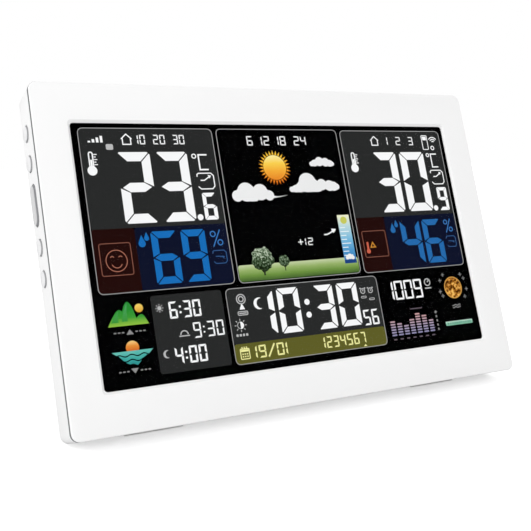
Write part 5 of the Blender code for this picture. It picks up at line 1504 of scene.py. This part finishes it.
class STATION_OT_pressure(bpy.types.Operator):
    """Set the air pressure readout and its chart"""

    bl_idname = "weather_station.pressure"
    bl_label = "Set pressure readout"

    VALUE_LEFT, VALUE_TOP, VALUE_WIDTH, VALUE_HEIGHT = 39.9, 19.2, 4.1, 7.7
    VALUE_SPACE, VALUE_WEIGHT = 0.75, 1.05
    DIAL, DIAL_RADIUS, DIAL_HAND = (58.4, 20.9), 1.6, 0.8
    DIAL_FOOT = Spot(56.8, 23.1, 60.0, 23.6)
    CHART_LEFT, CHART_FOOT, COLUMN_STEP, COLUMN_WIDTH = 36.3, 41.1, 3.2, 2.3
    BLOCK_STEP, BLOCK_HIGH, BLOCK_CORNER = 1.06, 0.62, 0.2
    BLOCKS = (6, 5, 4, 6, 8, 7, 5)
    LABEL_TOP, LABEL_HIGH, LABEL_INSET = 42.3, 0.5, 0.4
    HEADING = Spot(47.2, 30.9, 53.2, 31.3)
    AXIS_X, AXIS_TOP, AXIS_REACH = 59.8, 33.5, 0.6
    AXIS_MARKS, AXIS_STEP, AXIS_MARK_HALF, AXIS_MARK_CORNER = 4, 1.75, (0.3, 0.45), 0.15

    def execute(self, context):
        fine = bar_width("fine_bar")
        bar = bar_width("small_bar") * self.VALUE_WEIGHT
        size = (self.VALUE_WIDTH, self.VALUE_HEIGHT, bar, self.VALUE_SPACE)
        value = number("1009", self.VALUE_LEFT, self.VALUE_TOP, *size)
        add_marks("pressure_digits", ink("white"), value)
        x, y = self.DIAL
        hand = stroke([self.DIAL, (x + self.DIAL_HAND, y - self.DIAL_HAND)], fine)
        dial = [ring(self.DIAL, self.DIAL_RADIUS, fine, 22), hand, box(self.DIAL_FOOT)]
        add_marks("pressure_dial", ink("pale"), dial)
        top = self.CHART_FOOT - self.BLOCK_STEP * max(self.BLOCKS)
        blocks = []
        labels = [box(self.HEADING)]
        for column, count in enumerate(self.BLOCKS):
            left = self.CHART_LEFT + self.COLUMN_STEP * column
            right = left + self.COLUMN_WIDTH
            for row in range(count):
                foot = self.CHART_FOOT - self.BLOCK_STEP * row
                blocks.append(box(Spot(left, foot - self.BLOCK_HIGH, right, foot), self.BLOCK_CORNER, 2))
            label = Spot(left, self.LABEL_TOP, right, self.LABEL_TOP + self.LABEL_HIGH)
            labels.append(box(label._replace(left=left + self.LABEL_INSET, right=right - self.LABEL_INSET)))
        chart = lit_picture("chart", CHART_BANDS, top, self.CHART_FOOT)
        add_marks("pressure_chart", chart, blocks)
        add_marks("pressure_labels", ink("dim"), labels)
        axis = [plus((self.AXIS_X, self.AXIS_TOP), self.AXIS_REACH, fine)]
        across, up = self.AXIS_MARK_HALF
        for i in range(1, self.AXIS_MARKS + 1):
            y = self.AXIS_TOP + self.AXIS_STEP * i
            mark = Spot(self.AXIS_X - across, y - up, self.AXIS_X + across, y + up)
            axis.append(box(mark, self.AXIS_MARK_CORNER, 2))
        add_marks("pressure_axis", ink("grey"), axis)
        return {"FINISHED"}


class STATION_OT_moon(bpy.types.Operator):
    """Draw the moon, its stars and the tide bar"""

    bl_idname = "weather_station.moon"
    bl_label = "Draw moon and tide"

    MOON, MOON_RADIUS, MOON_SPECKLE, RIM_WEIGHT = (71.4, 24.2), 4.6, (2.0, 1.3), 0.9
    LEFT_STARS = ((67.1, 18.5), (65.1, 20.8), (64.3, 25.4), (65.3, 27.3))
    RIGHT_STARS = ((76.4, 18.9), (77.8, 20.7), (78.4, 25.3), (76.8, 28.4))
    STAR_REACH, STAR_WEIGHT = 0.85, 0.55
    TIDE_SIGN, TIDE_SIGN_LENGTH, TIDE_SIGN_STEP, TIDE_SIGN_SWELL = (69.3, 31.6), 4.2, 0.9, 0.25
    TIDE, TIDE_CORNER, TIDE_SPECKLE = Spot(64.0, 38.1, 78.1, 39.8), 0.3, (0.5, 1.2)
    TIDE_MARKS, TIDE_MARK = 11, (0.5, 0.8)

    def execute(self, context):
        fine = bar_width("fine_bar")
        y, radius = self.MOON[1], self.MOON_RADIUS
        moon = lit_picture("moon", MOON_BANDS, y - 2 * radius, y + 2 * radius, *self.MOON_SPECKLE)
        add_panel("moon_disc", moon, [disc(self.MOON, radius - fine / 2, 40)])
        add_marks("moon_rim", ink("rim"), [ring(self.MOON, radius, fine * self.RIM_WEIGHT, 40)])
        places = self.LEFT_STARS + self.RIGHT_STARS
        stars = [plus(place, self.STAR_REACH, fine * self.STAR_WEIGHT) for place in places]
        add_marks("stars", ink("grey"), stars)
        add_marks("tide_sign", ink("grey"), self.waves(fine * LIGHT))
        tide = lit_picture("tide", TIDE_BANDS, self.TIDE.top, self.TIDE.bottom, *self.TIDE_SPECKLE)
        add_marks("tide_bar", tide, [box(self.TIDE, self.TIDE_CORNER)])
        add_details("tide_scale", ink("reed"), self.tide_scale())
        return {"FINISHED"}

    def tide_scale(self):
        """A row of plain marks along the tide bar."""
        step = (self.TIDE.right - self.TIDE.left) / (self.TIDE_MARKS + 1)
        middle = (self.TIDE.top + self.TIDE.bottom) / 2
        wide, high = self.TIDE_MARK
        marks = []
        for i in range(1, self.TIDE_MARKS + 1):
            x = self.TIDE.left + step * i
            marks.append(box(Spot(x - wide / 2, middle - high / 2, x + wide / 2, middle + high / 2)))
        return marks

    def waves(self, width):
        """Two wavy lines."""
        left, top = self.TIDE_SIGN
        steps = 16
        patches = []
        for row in range(2):
            points = []
            for i in range(steps + 1):
                share = i / steps
                x = left + self.TIDE_SIGN_LENGTH * share
                swell = self.TIDE_SIGN_SWELL * math.sin(4 * math.pi * share)
                points.append((x, top + self.TIDE_SIGN_STEP * row + swell))
            patches.append(stroke(points, width))
        return patches


class STATION_OT_stage(bpy.types.Operator):
    """Set the pale floor, the studio light and the camera"""

    bl_idname = "weather_station.stage"
    bl_label = "Set stage"

    FLOOR_HALF = 3.0
    FLOOR_GLOW = 0.5
    ROOM_LIGHT = 0.84
    LAMPS = {
        "key_softbox": ((-0.6, -0.8, 0.3), 0.9, 2.5),
        "side_softbox": ((-1.0, 0.05, 0.4), 0.7, 1.35),
        "top_softbox": ((0.1, 0.15, 1.1), 0.9, 0.8),
    }

    def execute(self, context):
        scene = context.scene
        scene.view_settings.view_transform = "Standard"
        self.set_camera(scene)
        self.set_world(scene)
        self.add_floor(scene)
        for name, (place, size, power) in self.LAMPS.items():
            self.add_lamp(scene, name, Vector(place), size, power)
        return {"FINISHED"}

    def set_camera(self, scene):
        data = bpy.data.cameras.new("photo_camera")
        data.lens = CAMERA_LENS
        data.sensor_width = CAMERA_SENSOR
        data.clip_start = 10 * MM
        camera = bpy.data.objects.new("photo_camera", data)
        scene.collection.objects.link(camera)
        camera.location = CAMERA_PLACE
        camera.rotation_euler = Vector(CAMERA_AIM).to_track_quat("-Z", "Y").to_euler()
        scene.camera = camera

    def set_world(self, scene):
        """White to the eye and in gloss, and a little lower as light."""
        world = bpy.data.worlds.new("studio")
        world.use_nodes = True
        scene.world = world
        tree = world.node_tree
        back = tree.nodes["Background"]
        back.inputs["Color"].default_value = shaded(linear("#ffffff"))
        rays = node(tree, "ShaderNodeLightPath").outputs
        seen = rays["Is Camera Ray"]
        for kind in ("Is Glossy Ray", "Is Transmission Ray"):
            seen = node(tree, "ShaderNodeMath", {0: seen, 1: rays[kind]}, operation="MAXIMUM").outputs[0]
        level = node(tree, "ShaderNodeMapRange", {"Value": seen, "To Min": self.ROOM_LIGHT, "To Max": 1.0})
        tree.links.new(level.outputs["Result"], back.inputs["Strength"])

    def add_floor(self, scene):
        """A pale table top that looks white beyond the object's shadow."""
        shape = bmesh.new()
        bmesh.ops.create_grid(shape, x_segments=2, y_segments=2, size=self.FLOOR_HALF)
        mesh = bpy.data.meshes.new("floor")
        shape.to_mesh(mesh)
        shape.free()
        floor = bpy.data.objects.new("floor", mesh)
        scene.collection.objects.link(floor)
        look, tree, shader = new_finish(
            "board_painted_white",
            Base_Color=shaded(linear("#ededed")),
            Roughness=0.9,
            Specular_IOR_Level=0.0,
            Emission_Color=shaded(linear("#ffffff")),
        )
        rays = node(tree, "ShaderNodeLightPath").outputs
        glow = node(
            tree, "ShaderNodeMath", {0: rays["Is Camera Ray"], 1: self.FLOOR_GLOW}, operation="MULTIPLY"
        )
        tree.links.new(glow.outputs[0], shader.inputs["Emission Strength"])
        mesh.materials.append(look)

    def add_lamp(self, scene, name, place, size, power):
        data = bpy.data.lights.new(name, "AREA")
        data.shape = "DISK"
        data.size = size
        data.energy = power
        lamp = bpy.data.objects.new(name, data)
        scene.collection.objects.link(lamp)
        lamp.location = place
        aim = Vector((0, 0, scene.station_sizes.face_height / 2)) - place
        lamp.rotation_euler = aim.to_track_quat("-Z", "Y").to_euler()


OPERATORS = (
    STATION_OT_case,
    STATION_OT_seam_shade,
    STATION_OT_inner,
    STATION_OT_window,
    STATION_OT_panels,
    STATION_OT_room,
    STATION_OT_outside,
    STATION_OT_forecast,
    STATION_OT_daylight,
    STATION_OT_clock,
    STATION_OT_pressure,
    STATION_OT_moon,
    STATION_OT_stage,
)

GROUPS = {
    "station_sizes": StationSizes,
    "display_sizes": DisplaySizes,
    "case_colours": CaseColours,
    "display_colours": DisplayColours,
}


class STATION_PT_panel(bpy.types.Panel):
    """Lists the steps that finish the station, and what can be changed before they run."""

    bl_label = "Home weather station"
    bl_idname = "STATION_PT_panel"
    bl_space_type = "VIEW_3D"
    bl_region_type = "UI"
    bl_category = "Station"

    def draw(self, context):
        for name, group in GROUPS.items():
            column = self.layout.column()
            for setting in group.__annotations__:
                column.prop(getattr(context.scene, name), setting)
        for operator in OPERATORS:
            self.layout.operator(operator.bl_idname)


CLASSES = (*GROUPS.values(), *OPERATORS, STATION_PT_panel)


def register():
    for kind in CLASSES:
        bpy.utils.register_class(kind)
    for name, group in GROUPS.items():
        setattr(bpy.types.Scene, name, bpy.props.PointerProperty(type=group))


def unregister():
    for name in GROUPS:
        delattr(bpy.types.Scene, name)
    for kind in reversed(CLASSES):
        bpy.utils.unregister_class(kind)


def main():
    """Clears the start-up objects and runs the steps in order."""
    kept = {*frame["nodes"].values(), *frame["bodies"].values()}
    for item in [thing for thing in bpy.data.objects if thing not in kept]:
        bpy.data.objects.remove(item, do_unlink=True)
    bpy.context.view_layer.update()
    register()
    for operator in OPERATORS:
        group, name = operator.bl_idname.split(".")
        getattr(getattr(bpy.ops, group), name)()


if __name__ == "__main__":
    main()
